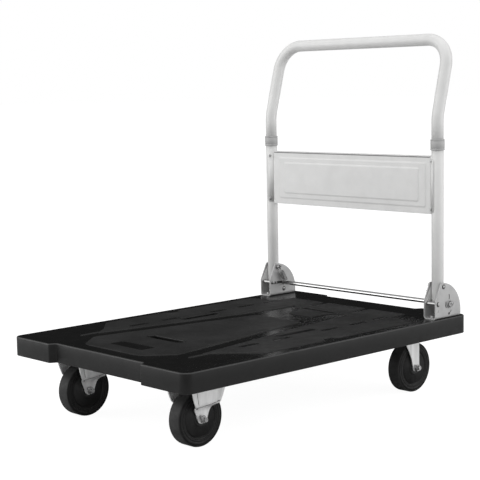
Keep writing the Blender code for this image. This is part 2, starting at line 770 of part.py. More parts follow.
def collar(side, parent):
    """Build the plastic collar over the seam between a lower tube and the upper handle."""
    x = side * TUBE_X
    bore = TUBE_RADIUS + GAP
    low, high = SEAM_Z - COLLAR_HALF, SEAM_Z + COLLAR_HALF
    edge = 0.0012
    profile = [(low, bore), (low, COLLAR_OUTER - edge), (low + edge, COLLAR_OUTER),
               (high - edge, COLLAR_OUTER), (high, COLLAR_OUTER - edge), (high, bore)]
    work = bmesh.new()
    turned_ring(work, "Z", x, TUBE_Y, profile, 24)
    return finish("collar_" + side_name(side), work, grey_plastic(), parent)


def handle_path():
    """Return the centre line of the upper handle from its left seam to its right seam."""
    lean = math.atan2(BAR_SETBACK, BAR_Z - LEAN_Z)
    direction = Vector((0.0, math.sin(lean), math.cos(lean)))
    bend = [Vector((0.0, LEAN_RADIUS * (1 - math.cos(a)), LEAN_RADIUS * math.sin(a)))
            for a in [lean * i / 4 for i in range(5)]]
    bend_start = LEAN_Z - LEAN_RADIUS * math.tan(lean / 2)
    riser_top = (BAR_Z - LEAN_Z) / math.cos(lean) - TOP_RADIUS
    knee = Vector((0.0, TUBE_Y, LEAN_Z))
    half = [Vector((-TUBE_X, TUBE_Y, SEAM_Z + GAP))]
    half += [Vector((-TUBE_X, TUBE_Y, bend_start)) + point for point in bend]
    corner = knee + direction * riser_top
    for i in range(9):
        a = math.radians(90) * i / 8
        shift = Vector((TOP_RADIUS * (1 - math.cos(a)) - TUBE_X, 0.0, 0.0))
        half.append(corner + direction * (TOP_RADIUS * math.sin(a)) + shift)
    other = [Vector((-point.x, point.y, point.z)) for point in reversed(half)]
    return half + other


def upper_handle(parent):
    """Build the U-shaped upper handle, hollow, with a spigot down into each lower tube."""
    path = handle_path()
    spigot = TUBE_RADIUS - TUBE_WALL - GAP
    inner = spigot - TUBE_WALL
    down = Vector((0.0, 0.0, -SPIGOT_LENGTH))
    ends = (path[0], path[-1])
    outside = wire_loops(path, TUBE_RADIUS, 20)
    inside = wire_loops(path, inner, 20)
    shrink = spigot / TUBE_RADIUS
    neck = [[centre + (point - centre) * shrink for point in outside[i]] for i, centre in zip((0, -1), ends)]
    foot = [[point + down for point in loop] for loop in neck]
    hollow = [[point + down for point in inside[i]] for i in (0, -1)]
    loops = [foot[0], neck[0]] + outside + [neck[1], foot[1], hollow[1]] + inside[::-1] + [hollow[0]]
    work = bmesh.new()
    skin(work, loops, ring=True)
    return finish("upper_handle", work, grey_paint(), parent)


def back_panel(parent):
    """Build the pressed panel between the tubes: embossed face, rolled edges and saddles on the tubes."""
    sheet = BACK_SHEET
    clear = TUBE_RADIUS + GAP
    front = TUBE_Y - 0.0075
    back = front + sheet
    reach = TUBE_X - clear
    lip = arc(TUBE_X, TUBE_Y, clear, 211, 268, 6)
    lip_out = arc(TUBE_X, TUBE_Y, clear + sheet, 268, 211, 6)
    half = [(reach - 0.004, back)] + lip + lip_out + [(reach - 0.004, front)]
    outline = half + mirrored(half)
    work = bmesh.new()
    prism(work, "Z", outline, BACK_BOTTOM + 0.002, BACK_TOP - 0.002)
    made = finish("back_panel", work, grey_paint(), parent)
    rolls = bmesh.new()
    for edge, inward in ((BACK_BOTTOM, 1), (BACK_TOP, -1)):
        z0, z1 = sorted((edge, edge + inward * 0.0035))
        block(rolls, (0.004 - reach, front, z0), (reach - 0.004, front + BACK_DEPTH, z1))
    boolean(made, "UNION", rolls)
    boss = bmesh.new()
    middle = (BACK_BOTTOM + BACK_TOP) / 2
    for half_x, half_z, height in ((0.240, 0.0495, 0.0010), (0.219, 0.0345, 0.0020)):
        rows = []
        for inset, y in ((0.0, front + 0.0005), (0.0, front - height + 0.0010), (0.001, front - height)):
            u, v = half_x - inset, half_z - inset
            rows.append([(-u, y, middle - v), (u, y, middle - v), (u, y, middle + v), (-u, y, middle + v)])
        skin(boss, rows)
    boolean(made, "UNION", boss)
    return made


def panel_screw(side, level, parent):
    """Build one screw head that holds a saddle of the back panel on its tube."""
    z = BACK_BOTTOM + 0.012 if level == "low" else BACK_TOP - 0.012
    angle = math.radians(240)
    radius = TUBE_RADIUS + GAP + BACK_SHEET + GAP
    outward = Vector((side * math.cos(angle), math.sin(angle), 0.0))
    seat = Vector((side * TUBE_X, TUBE_Y, z)) + outward * (radius + 0.0004)
    across = Vector((0.0, 0.0, 1.0)).cross(outward)
    work = bmesh.new()
    rows = []
    for height, size in ((0.0, 0.0036), (0.0012, 0.0032), (0.0018, 0.0020)):
        ring = circle(0.0, 0.0, size, 12)
        rows.append([seat + outward * height + across * u + Vector((0.0, 0.0, v)) for u, v in ring])
    skin(work, rows)
    return finish(f"panel_screw_{side_name(side)}_{level}", work, zinc(), parent)


def handle():
    """Build everything that folds with the handle, on an empty at the pivot."""
    pivot = axis_empty("handle_pivot_axis", (0.0, TUBE_Y, PIVOT_Z))
    for side in (-1, 1):
        lower_tube(side, pivot)
        collar(side, pivot)
        for level in ("low", "high"):
            panel_screw(side, level, pivot)
    upper_handle(pivot)
    back_panel(pivot)


def main():
    clear_scene()
    deck()
    for side in (-1, 1):
        fixed_caster(side)
        swivel_caster(side)
        hinge_bracket(side)
        pivot_bolt(side)
        pivot_nut(side)
        stop_pin(side)
        bracket_bolts(side)
        return_spring(side)
    release_bar()
    handle()


main()
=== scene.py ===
"""Visual model of a folding platform cart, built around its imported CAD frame.

Metres, +Z up. The cart stands on z = 0 with its handle at the +Y end, and +X is its right side.
"""
import math

import bmesh
import bpy
from mathutils import Matrix, Vector
from mathutils.geometry import delaunay_2d_cdt


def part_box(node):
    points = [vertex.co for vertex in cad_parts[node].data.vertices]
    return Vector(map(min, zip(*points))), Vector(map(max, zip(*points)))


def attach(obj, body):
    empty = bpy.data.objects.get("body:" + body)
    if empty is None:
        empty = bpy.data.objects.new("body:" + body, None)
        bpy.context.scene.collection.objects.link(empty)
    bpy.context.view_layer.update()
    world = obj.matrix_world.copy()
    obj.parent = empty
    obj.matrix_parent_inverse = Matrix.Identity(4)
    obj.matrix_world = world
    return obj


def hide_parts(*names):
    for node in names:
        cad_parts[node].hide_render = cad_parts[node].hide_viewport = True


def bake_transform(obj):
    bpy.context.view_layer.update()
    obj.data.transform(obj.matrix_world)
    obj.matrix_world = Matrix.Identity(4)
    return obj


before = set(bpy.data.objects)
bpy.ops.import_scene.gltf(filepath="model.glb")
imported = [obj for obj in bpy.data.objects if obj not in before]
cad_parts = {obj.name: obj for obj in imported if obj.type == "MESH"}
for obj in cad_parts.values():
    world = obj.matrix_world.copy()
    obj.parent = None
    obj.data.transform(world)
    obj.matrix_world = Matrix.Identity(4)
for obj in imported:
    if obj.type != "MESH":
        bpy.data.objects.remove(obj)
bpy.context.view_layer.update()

# Deck, from the CAD node and the rise of its raised surfaces
DECK_LOW, DECK_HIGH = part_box("deck")
PANEL_TOP = DECK_HIGH.z
PANEL_RISE = 0.0018
GROOVE_TOP = PANEL_TOP - PANEL_RISE
SKIRT_BOTTOM = DECK_LOW.z
POCKET_TOP = 0.180
CASTER_PAD = 0.1523
HINGE_BOSS_BOTTOM = 0.160
DECK_WALL = 0.005
RIB = 0.004
EDGE_RADIUS = 0.0025
RECESS_DEPTH = 0.015
RECESS_HALF = 0.160
RECESS_RUN = 0.008
RECESS_CORNER = 0.0045
DECK_CORNER = 0.020

# Handle, from the CAD nodes
TUBE_LOW, TUBE_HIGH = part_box("lower_tube_right")
TUBE_X = (TUBE_LOW.x + TUBE_HIGH.x) / 2
TUBE_Y = (TUBE_LOW.y + TUBE_HIGH.y) / 2
TUBE_RADIUS = (TUBE_HIGH.x - TUBE_LOW.x) / 2
TUBE_WALL = 0.0015
HANDLE_LOW, HANDLE_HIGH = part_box("upper_handle")
PIVOT = Vector((0.0, TUBE_Y, TUBE_LOW.z + 0.040))
SEAM_Z = TUBE_HIGH.z
GAP = 0.0003

INSIDE_WITH_HOLES = 2
# Looks of the deck shell; the last is a painted highlight on the rounded top edge.
LOOK_SKIRT, LOOK_RAISED, LOOK_GROOVE, LOOK_EDGE_HIGHLIGHT = range(4)


# Materials ----------

def new_material(name, metallic=0.0, specular=0.5):
    """Return a material, its node tree and its Principled shader."""
    made = bpy.data.materials.new(name)
    made.use_nodes = True
    shader = made.node_tree.nodes["Principled BSDF"]
    shader.inputs["Metallic"].default_value = metallic
    shader.inputs["Specular IOR Level"].default_value = specular
    return made, made.node_tree, shader


def add(tree, kind, inputs=None, **settings):
    """Add a shader node whose inputs take values or, as links, the outputs of other nodes."""
    made = tree.nodes.new("ShaderNode" + kind)
    for name, value in settings.items():
        setattr(made, name, value)
    for key, value in (inputs or {}).items():
        if isinstance(value, bpy.types.NodeSocket):
            tree.links.new(value, made.inputs[key])
        else:
            made.inputs[key].default_value = value
    return made


def coordinates(tree, stretch=(1.0, 1.0, 1.0)):
    """Return the object's own coordinates, scaled along each axis."""
    own = add(tree, "TexCoord").outputs["Object"]
    return add(tree, "Mapping", {"Vector": own, "Scale": stretch}).outputs["Vector"]


def noise(tree, where, scale, detail=4.0):
    """Return a noise value."""
    return add(tree, "TexNoise", {"Vector": where, "Scale": scale, "Detail": detail}).outputs["Fac"]


def cells(tree, where, scale):
    """Return the distance to the nearest of scattered points."""
    return add(tree, "TexVoronoi", {"Vector": where, "Scale": scale}).outputs["Distance"]


def remap(tree, value, low, high, start=0.3, end=0.7):
    """Return a value stretched from one range to another."""
    return add(tree, "MapRange", {"Value": value, "From Min": start, "From Max": end,
                                  "To Min": low, "To Max": high}).outputs["Result"]


def two_tone(tree, value, first, second, start=0.3, end=0.7):
    """Return a colour between two colours."""
    ramp = add(tree, "ValToRGB", {"Fac": value})
    for element, place, tone in zip(ramp.color_ramp.elements, (start, end), (first, second)):
        element.position = place
        element.color = (*tone, 1.0)
    return ramp.outputs["Color"]


def dress(tree, shader, tone, rough, heights, strength=0.5):
    """Drive a shader's colour and roughness, and its normal by (height, distance) pairs."""
    tree.links.new(tone, shader.inputs["Base Color"])
    tree.links.new(rough, shader.inputs["Roughness"])
    bumps = [add(tree, "Bump", {"Height": height, "Distance": distance, "Strength": strength})
             for height, distance in heights]
    for bump, target in zip(bumps, bumps[1:] + [shader]):
        tree.links.new(bump.outputs["Normal"], target.inputs["Normal"])


def moulded_plastic(name, dark, light, rough, grain, grain_depth, specular=0.5):
    """Return moulded plastic with cloudy tone, uneven gloss and a spark-eroded grain."""
    made, tree, shader = new_material(name, specular=specular)
    where = coordinates(tree)
    dress(tree, shader, two_tone(tree, noise(tree, where, 14.0, 6.0), dark, light),
          remap(tree, noise(tree, where, 45.0), *rough),
          [(cells(tree, where, grain), grain_depth), (noise(tree, where, grain * 0.4), grain_depth)], 0.6)
    return made


def powder_coat(name, dark, light, rough):
    """Return powder coat with the faint orange peel of baked paint."""
    made, tree, shader = new_material(name)
    where = coordinates(tree)
    dress(tree, shader, two_tone(tree, noise(tree, where, 25.0, 5.0), dark, light),
          remap(tree, noise(tree, where, 160.0), *rough), [(noise(tree, where, 700.0, 2.0), 0.00008)])
    return made


def plated_steel(name, dark, light, rough, stretch, metallic):
    """Return plated steel with a mottled tone and fine streaks along one axis."""
    made, tree, shader = new_material(name, metallic=metallic)
    where = coordinates(tree)
    along = coordinates(tree, stretch)
    lines = noise(tree, along, 220.0, 5.0)
    dress(tree, shader, two_tone(tree, noise(tree, along, 90.0, 6.0), dark, light),
          remap(tree, lines, *rough), [(lines, 0.00006), (noise(tree, where, 500.0), 0.00005)])
    return made


def rubber(name, dark, light, rough, rings):
    """Return rubber or hub plastic with fine turned rings about its axle."""
    made, tree, shader = new_material(name, specular=0.25)
    where = coordinates(tree)
    spread = add(tree, "TexCoord").outputs["Generated"]
    centre = add(tree, "VectorMath", {0: spread, 1: (0.5, 0.5, 0.5)}, operation="SUBTRACT")
    wave = add(tree, "TexWave", {"Vector": centre.outputs["Vector"], "Scale": rings, "Distortion": 0.4},
               wave_type="RINGS", rings_direction="X")
    dress(tree, shader, two_tone(tree, noise(tree, where, 60.0, 6.0), dark, light),
          remap(tree, noise(tree, where, 220.0), *rough),
          [(wave.outputs["Fac"], 0.00008), (noise(tree, where, 900.0), 0.00008)])
    return made


def grey(value):
    """Return a neutral colour."""
    return (value, value, value)


# How the streaks of plated steel run: down a pressed leg, across a cheek, along the bar, or nowhere
DOWN = (1.0, 1.0, 0.04)
FLAT = (1.0, 0.3, 0.3)
ALONG = (0.02, 1.0, 1.0)
EVEN = (1.0, 1.0, 1.0)

SKIRT = moulded_plastic("deck_skirt_plastic", grey(0.006), grey(0.009), (0.40, 0.50), 1500.0, 0.00005, 0.28)
# Painted highlight: lighter, glossier plastic on the deck's rounded top edge, standing in for the light line
# that edge catches.
EDGE_HIGHLIGHT = moulded_plastic("deck_edge_painted_highlight", grey(0.018), grey(0.030), (0.45, 0.55), 1500.0, 0.00005, 0.45)
RAISED = moulded_plastic("deck_raised_plastic", grey(0.010), grey(0.021), (0.48, 0.60), 700.0, 0.00012, 0.20)
GROOVE = moulded_plastic("deck_groove_plastic", grey(0.003), grey(0.005), (0.20, 0.30), 500.0, 0.00004, 0.15)
PAINT = powder_coat("handle_powder_coat", (0.67, 0.67, 0.665), (0.72, 0.72, 0.715), (0.36, 0.48))
# Painted shadow: dark grey paint for the walls and floor of the groove near the top of the back panel.
PANEL_GROOVE_SHADOW = powder_coat("panel_groove_painted_shadow", grey(0.20), grey(0.26), (0.5, 0.6))
COLLAR = moulded_plastic("collar_plastic", grey(0.38), grey(0.44), (0.42, 0.55), 900.0, 0.00006)
ZINC = plated_steel("zinc_plate", grey(0.70), grey(0.92), (0.34, 0.52), DOWN, 0.45)
ZINC_FLAT = plated_steel("zinc_plate_cheek", grey(0.38), grey(0.47), (0.42, 0.60), FLAT, 0.35)
# Painted shade: near-black, non-metallic zinc for thin beads, rings, discs and strips laid where creases,
# holes, slots and gaps fall in shade.
ZINC_PAINTED_SHADE = plated_steel("zinc_painted_shade", grey(0.008), grey(0.025), (0.50, 0.65), FLAT, 0.0)
# Painted light: a brighter, less metallic copy of the cheek zinc, laid on the inside of a hinge cheek as a
# lit patch.
ZINC_PAINTED_LIGHT = plated_steel("zinc_painted_light", grey(0.74), grey(0.86), (0.42, 0.60), FLAT, 0.1)
STEEL = plated_steel("bright_steel", grey(0.44), grey(0.55), (0.14, 0.26), ALONG, 1.0)
SPRING = plated_steel("spring_steel", grey(0.20), grey(0.34), (0.22, 0.40), EVEN, 0.9)
FASTENER = plated_steel("fastener_zinc", grey(0.32), grey(0.50), (0.22, 0.38), EVEN, 0.95)
SIDEWALL = rubber("tyre_side_rubber", grey(0.008), grey(0.013), (0.45, 0.60), 9.0)
TREAD = rubber("tyre_tread_rubber", grey(0.022), grey(0.036), (0.50, 0.65), 3.0)
HUB = rubber("hub_plastic", grey(0.010), grey(0.017), (0.36, 0.50), 22.0)


# Mesh helpers ----------

def piece(name, work, looks, body, replaces=()):
    """Make an object from a bmesh in world coordinates, riding on a CAD body."""
    mesh = bpy.data.meshes.new(name)
    work.to_mesh(mesh)
    work.free()
    for look in looks:
        mesh.materials.append(look)
    made = bpy.data.objects.new(name, mesh)
    bpy.context.scene.collection.objects.link(made)
    if body:
        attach(made, body)
    if replaces:
        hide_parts(*replaces)
    return made


def circle(radius, sides, centre=(0.0, 0.0)):
    """Return the points of a circle."""
    return [(centre[0] + radius * math.cos(2 * math.pi * i / sides),
             centre[1] + radius * math.sin(2 * math.pi * i / sides)) for i in range(sides)]


def rounded(corners, steps=5):
    """Return an outline from (x, y, radius) corners, each rounded with an arc."""
    points = []
    for i, (x, y, radius) in enumerate(corners):
        here = Vector((x, y))
        before = (Vector(corners[i - 1][:2]) - here).normalized()
        after = (Vector(corners[(i + 1) % len(corners)][:2]) - here).normalized()
        half = before.angle(after) / 2
        centre = here + (before + after).normalized() * (radius / math.sin(half))
        start = here + before * (radius / math.tan(half)) - centre
        end = here + after * (radius / math.tan(half)) - centre
        first = math.atan2(start.y, start.x)
        sweep = (math.atan2(end.y, end.x) - first + math.pi) % (2 * math.pi) - math.pi
        for k in range(steps + 1):
            angle = first + sweep * k / steps
            points.append(centre + Vector((math.cos(angle), math.sin(angle))) * radius)
    return points


def offset(outline, distance):
    """Return a counter-clockwise outline moved outwards."""
    moved = []
    for i, point in enumerate(outline):
        behind = (point - outline[i - 1]).normalized()
        ahead = (outline[(i + 1) % len(outline)] - point).normalized()
        normal = Vector((behind.y, -behind.x))
        middle = (normal + Vector((ahead.y, -ahead.x))).normalized()
        moved.append(point + middle * (distance / max(0.4, middle.dot(normal))))
    return moved


def mirror(outline):
    """Return an outline mirrored in x, still counter-clockwise."""
    return [Vector((-point[0], point[1])) for point in reversed(outline)]


def mirror_corners(corners):
    """Return (x, y, radius) corners mirrored in x, still counter-clockwise."""
    return [(-x, y, radius) for x, y, radius in reversed(corners)]


def rectangle(low, high, radius=0.0005, steps=2):
    """Return a rectangle's outline with rounded corners."""
    return rounded([(low[0], low[1], radius), (high[0], low[1], radius),
                    (high[0], high[1], radius), (low[0], high[1], radius)], steps)


def stadium(x, y, half_x, half_y, steps=10):
    """Return an outline with fully rounded ends."""
    radius = min(half_x, half_y) * 0.999
    return rectangle((x - half_x, y - half_y), (x + half_x, y + half_y), radius, steps)


def wall(work, outline, levels, look=0):
    """Join copies of an outline at (z, outward offset) levels with smooth quads."""
    rows = [[work.verts.new((p.x, p.y, z)) for p in offset(outline, out)] for z, out in levels]
    count = len(outline)
    for first, second in zip(rows, rows[1:]):
        for i in range(count):
            j = (i + 1) % count
            face = work.faces.new((first[i], first[j], second[j], second[i]))
            face.smooth = True
            face.material_index = look


def fill(work, outline, holes, z, look=0, up=True):
    """Fill an outline around its holes with flat faces at one height."""
    flat, loops = [], []
    for loop in [outline] + list(holes):
        loops.append(list(range(len(flat), len(flat) + len(loop))))
        flat += [Vector(p[:2]) for p in loop]
    points, _, faces, *_ = delaunay_2d_cdt(flat, [], loops, INSIDE_WITH_HOLES, 1e-7)
    verts = [work.verts.new((p.x, p.y, z)) for p in points]
    for corners in faces:
        face = work.faces.new([verts[i] for i in corners])
        face.normal_update()
        if (face.normal.z > 0) != up:
            face.normal_flip()
        face.material_index = look


def tidy(work):
    """Weld the seams between walls and fills."""
    bmesh.ops.remove_doubles(work, verts=work.verts, dist=0.00001)


def skin(work, loops, caps=True, look=0):
    """Bridge equal loops of points in turn with smooth quads."""
    rows = [[work.verts.new(point) for point in loop] for loop in loops]
    count = len(rows[0])
    for first, second in zip(rows, rows[1:]):
        for i in range(count):
            j = (i + 1) % count
            face = work.faces.new((first[i], first[j], second[j], second[i]))
            face.smooth = True
            face.material_index = look
    if caps:
        for row in (rows[0][::-1], rows[-1]):
            work.faces.new(row).material_index = look


def face_out(work):
    """Turn every closed shell's faces outwards."""
    bmesh.ops.recalc_face_normals(work, faces=work.faces)


def lathe(work, axis, centre, profile, sides, closed=True, look=0):
    """Turn (along, radius) pairs about an axis through a centre; closed joins the ends as a ring."""
    loops = []
    for along, radius in profile:
        loop = []
        for u, v in circle(radius, sides):
            place = {"X": (along, u, v), "Y": (u, along, v), "Z": (u, v, along)}[axis]
            loop.append(Vector(place) + Vector(centre))
        loops.append(loop)
    if closed:
        loops.append(loops[0])
    skin(work, loops, caps=not closed, look=look)
    if closed:
        tidy(work)


def sweep(work, path, radius, sides):
    """Sweep a circle along a path, turning as little as possible, and cap its ends."""
    loops, normal = [], None
    for i, point in enumerate(path):
        tangent = (path[min(i + 1, len(path) - 1)] - path[max(i - 1, 0)]).normalized()
        if normal is None:
            normal = tangent.orthogonal().normalized()
        normal = (normal - tangent * normal.dot(tangent)).normalized()
        binormal = tangent.cross(normal)
        loops.append([point + normal * u + binormal * v for u, v in circle(radius, sides)])
    skin(work, loops)


def centre_of(node):
    """Return the middle of a CAD node's box."""
    low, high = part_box(node)
    return (low + high) / 2


def box(work, centre, size):
    """Add a box."""
    made = bmesh.ops.create_cube(work, size=1.0)
    place = Matrix.LocRotScale(Vector(centre), None, Vector(size))
    bmesh.ops.transform(work, matrix=place, verts=made["verts"])


def merge(work, other, look=0):
    """Move one bmesh's geometry into another, all in one look."""
    for face in other.faces:
        face.material_index = look
    mesh = bpy.data.meshes.new("part")
    other.to_mesh(mesh)
    other.free()
    work.from_mesh(mesh)
    bpy.data.meshes.remove(mesh)


def soften(obj, width, angle):
    """Round an object's sharp edges."""
    weld = obj.modifiers.new("weld", "WELD")
    weld.merge_threshold = 0.00002
    bevel = obj.modifiers.new("bevel", "BEVEL")
    bevel.width = width
    bevel.segments = 2
    bevel.limit_method = "ANGLE"
    bevel.angle_limit = math.radians(angle)
    smooth = obj.modifiers.new("edges", "EDGE_SPLIT")
    smooth.split_angle = math.radians(50)


def flat_ring(work, x, out, place, profile, look=0):
    """Add a small turned shape standing on a cheek at x, given as (height, radius) pairs."""
    lathe(work, "X", Vector((0.0, *place)), [(x + out * height, radius) for height, radius in profile], 20,
          closed=False, look=look)


def arc_bead(work, centre, first, last, radius, wire=0.0007):
    """Add a thin bead along an arc on a cheek, between angles given in degrees."""
    path = []
    for i in range(15):
        angle = math.radians(first + (last - first) * i / 14)
        path.append(centre + Vector((0.0, math.cos(angle), math.sin(angle))) * radius)
    sweep(work, path, wire, 8)


# Deck ----------

def deck_outline():
    """Return the deck's plan: rounded corners and a shallow recess along both ends."""
    half_w, half_l = DECK_HIGH.x, DECK_HIGH.y
    inner = RECESS_HALF - RECESS_RUN
    front = [(inner, -half_l + RECESS_DEPTH, RECESS_CORNER), (RECESS_HALF, -half_l, RECESS_CORNER),
             (half_w, -half_l, DECK_CORNER)]
    right = front + [(x, -y, radius) for x, y, radius in reversed(front)]
    return rounded(right + mirror_corners(right), 7)


def raised_outlines():
    """Return the outlines of the deck's raised, matt surfaces."""
    middle = [(0.078, -0.400, 0.006), (0.100, -0.394, 0.012), (0.146, -0.338, 0.006),
              (0.146, -0.322, 0.006), (0.076, 0.100, 0.003), (0.070, 0.108, 0.003)]
    tongue = [(0.044, 0.174, 0.020), (0.044, 0.232, 0.006), (0.100, 0.262, 0.004), (0.100, 0.292, 0.003),
              (0.062, 0.292, 0.003), (0.062, 0.350, 0.004)]
    side = rounded([
        (0.179, -0.300, 0.002), (0.215, -0.255, 0.006), (0.272, -0.205, 0.008), (0.272, -0.022, 0.003),
        (0.257, -0.012, 0.004), (0.257, 0.012, 0.004), (0.272, 0.022, 0.003), (0.272, 0.275, 0.006),
        (0.196, 0.292, 0.003), (0.190, 0.350, 0.004), (0.081, 0.350, 0.004), (0.081, 0.292, 0.003),
        (0.0995, 0.292, 0.003), (0.0995, 0.190, 0.004), (0.111, 0.100, 0.006)])
    return [rounded(middle + mirror_corners(middle)), rounded(tongue + mirror_corners(tongue)),
            side, mirror(side)]


def deck_slots():
    """Return each through slot's outline, in the order of the raised surfaces they stand in."""
    front = stadium(0.0, -0.247, 0.058, 0.012)
    rear = stadium(0.0, 0.250, 0.058, 0.0085)
    side = stadium(0.163, 0.0, 0.011, 0.060)
    return [[front], [rear], [side], [mirror(side)]]


def deck_marks():
    """Return the shallow glossy marks of each raised surface: the label field and the dashes."""
    label = rectangle((-0.055, -0.361), (0.055, -0.324), 0.003, 3)
    half_width = 0.0062
    dashes = []
    for x, y, half in ((0.186, 0.262, 0.023), (0.190, 0.178, 0.026), (0.190, 0.082, 0.026),
                       (0.190, -0.072, 0.026), (0.188, -0.172, 0.027)):
        dashes.append(rectangle((x - half_width, y - half), (x + half_width, y + half), 0.004, 3))
    return [[label], [], dashes, [mirror(dash) for dash in dashes]]


# Profiles of moulded edges, as (height above the surface, outward offset) pairs
SLOT_RIM = [(0.0000, 0.0040), (0.0007, 0.0032), (0.0009, 0.0020), (0.0007, 0.0010), (0.0002, 0.0003),
            (-0.0008, 0.0)]
MARK_EDGE = [(0.0, 0.0008), (-0.0004, 0.0003), (-0.0011, 0.0)]
RAISED_EDGE = [(0.0, 0.0010), (0.0003, 0.0003), (0.0011, 0.0), (0.0015, -0.0005), (0.0017, -0.0010),
               (0.0018, -0.0017)]
RIDGE_EDGE = [(0.0, 0.0008), (0.0007, 0.0003), (0.0013, -0.0003), (0.0016, -0.0010)]
DIMPLE_EDGE = [(0.0, 0.0), (-0.0008, -0.0006)]


def pocket_cells():
    """Return the plan boxes of the ribbed hollow under the deck."""
    wall_x = DECK_HIGH.x - DECK_WALL
    wall_y = DECK_HIGH.y - DECK_WALL - RECESS_DEPTH
    ribs_x = (-0.133, -0.075, 0.075, 0.133)
    ribs_y = (-0.275, -0.090, 0.090, 0.235)
    columns, rows = spans(wall_x, ribs_x), spans(wall_y, ribs_y)
    return [((x0, y0), (x1, y1)) for x0, x1 in columns for y0, y1 in rows]


def spans(reach, ribs):
    """Return the gaps between ribs, from one wall to the other."""
    starts = [-reach] + [rib + RIB / 2 for rib in ribs]
    ends = [rib - RIB / 2 for rib in ribs] + [reach]
    return list(zip(starts, ends))


def inside(outline, low, high):
    """Say whether an outline's middle lies in a plan box."""
    middle = sum(outline, Vector((0.0, 0.0))) / len(outline)
    return low[0] < middle.x < high[0] and low[1] < middle.y < high[1]


def edge(work, outline, profile, base, look):
    """Run a moulded edge round an outline, from a surface at the base height."""
    wall(work, outline, [(base + z, out) for z, out in profile], look)


def raised_surface(work, toe, slots, marks):
    """Add a raised surface with its through slots and its sunk marks."""
    edge(work, toe, RAISED_EDGE, GROOVE_TOP, LOOK_RAISED)
    holes = [offset(slot, SLOT_RIM[0][1]) for slot in slots]
    holes += [offset(mark, MARK_EDGE[0][1]) for mark in marks]
    fill(work, offset(toe, RAISED_EDGE[-1][1]), holes, PANEL_TOP, LOOK_RAISED)
    for slot in slots:
        rim = [(PANEL_TOP + z, out) for z, out in SLOT_RIM]
        wall(work, slot, rim + [(POCKET_TOP, 0.0)], LOOK_SKIRT)
    for mark in marks:
        edge(work, mark, MARK_EDGE, PANEL_TOP, LOOK_GROOVE)
        fill(work, mark, [], PANEL_TOP + MARK_EDGE[-1][0], LOOK_GROOVE)


def deck_top(work, outline):
    """Add the groove floor and everything raised above or sunk into it."""
    toes = raised_outlines()
    ridge = stadium(0.1865, -0.3125, 0.0030, 0.0300, 4)
    ridges = [ridge, mirror(ridge)]
    dimples = [[Vector(p) for p in circle(0.0032, 12, (side * 0.277, y))]
               for side in (-1, 1) for y in (-0.350, -0.423)]
    holes = [offset(toe, RAISED_EDGE[0][1]) for toe in toes]
    holes += [offset(ridge, RIDGE_EDGE[0][1]) for ridge in ridges] + dimples
    fill(work, offset(outline, -EDGE_RADIUS), holes, GROOVE_TOP, LOOK_GROOVE)
    for toe, slots, marks in zip(toes, deck_slots(), deck_marks()):
        raised_surface(work, toe, slots, marks)
    for ridge in ridges:
        edge(work, ridge, RIDGE_EDGE, GROOVE_TOP, LOOK_RAISED)
        fill(work, offset(ridge, RIDGE_EDGE[-1][1]), [], GROOVE_TOP + RIDGE_EDGE[-1][0], LOOK_RAISED)
    for dimple in dimples:
        edge(work, dimple, DIMPLE_EDGE, GROOVE_TOP, LOOK_GROOVE)
        fill(work, offset(dimple, DIMPLE_EDGE[-1][1]), [], GROOVE_TOP + DIMPLE_EDGE[-1][0], LOOK_GROOVE)


def deck_underside(work, outline):
    """Add the skirt's lower rim, the ribbed pockets, the caster pads and the hinge bosses."""
    pockets = [rectangle(low, high, 0.002, 2) for low, high in pocket_cells()]
    through = [s for group in deck_slots() for s in group]
    fill(work, offset(outline, -0.0008), pockets, SKIRT_BOTTOM, LOOK_SKIRT, up=False)
    for pocket, (low, high) in zip(pockets, pocket_cells()):
        wall(work, pocket, [(POCKET_TOP, 0.0), (SKIRT_BOTTOM, 0.0)], LOOK_SKIRT)
        fill(work, pocket, [s for s in through if inside(s, low, high)], POCKET_TOP, LOOK_SKIRT, up=False)
    for name in ("front_left_caster_bracket", "front_right_caster_bracket",
                 "rear_left_caster_plate", "rear_right_caster_plate"):
        low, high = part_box(name)
        pad = rectangle((low.x - 0.005, low.y - 0.005), (high.x + 0.005, high.y + 0.005), 0.003, 2)
        solid_pad(work, pad, CASTER_PAD)
    for side in ("left", "right"):
        low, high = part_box("hinge_bracket_" + side)
        solid_pad(work, rectangle((low.x + 0.002, low.y), (high.x - 0.001, high.y - 0.004), 0.003, 2),
                  HINGE_BOSS_BOTTOM)


def solid_pad(work, outline, bottom):
    """Add a pad hanging from the pocket's ceiling."""
    wall(work, outline, [(bottom, 0.0), (POCKET_TOP, 0.0)], LOOK_SKIRT)
    fill(work, outline, [], bottom, LOOK_SKIRT, up=False)


def deck_shell():
    """Build the moulded deck in place of the CAD one."""
    work = bmesh.new()
    outline = deck_outline()
    levels = [(SKIRT_BOTTOM, -0.0008), (SKIRT_BOTTOM + 0.0008, 0.0), (GROOVE_TOP - EDGE_RADIUS, 0.0)]
    wall(work, outline, levels, LOOK_SKIRT)
    # The rounded top edge, in the lighter plastic of a painted highlight.
    levels = []
    for k in range(5):
        angle = math.radians(90) * k / 4
        drop, inset = EDGE_RADIUS * (1 - math.sin(angle)), EDGE_RADIUS * (1 - math.cos(angle))
        levels.append((GROOVE_TOP - drop, -inset))
    wall(work, outline, levels, LOOK_EDGE_HIGHLIGHT)
    deck_top(work, outline)
    deck_underside(work, outline)
    tidy(work)
    piece("deck_shell", work, [SKIRT, RAISED, GROOVE, EDGE_HIGHLIGHT], "base", ["deck"])


# Wheels ----------

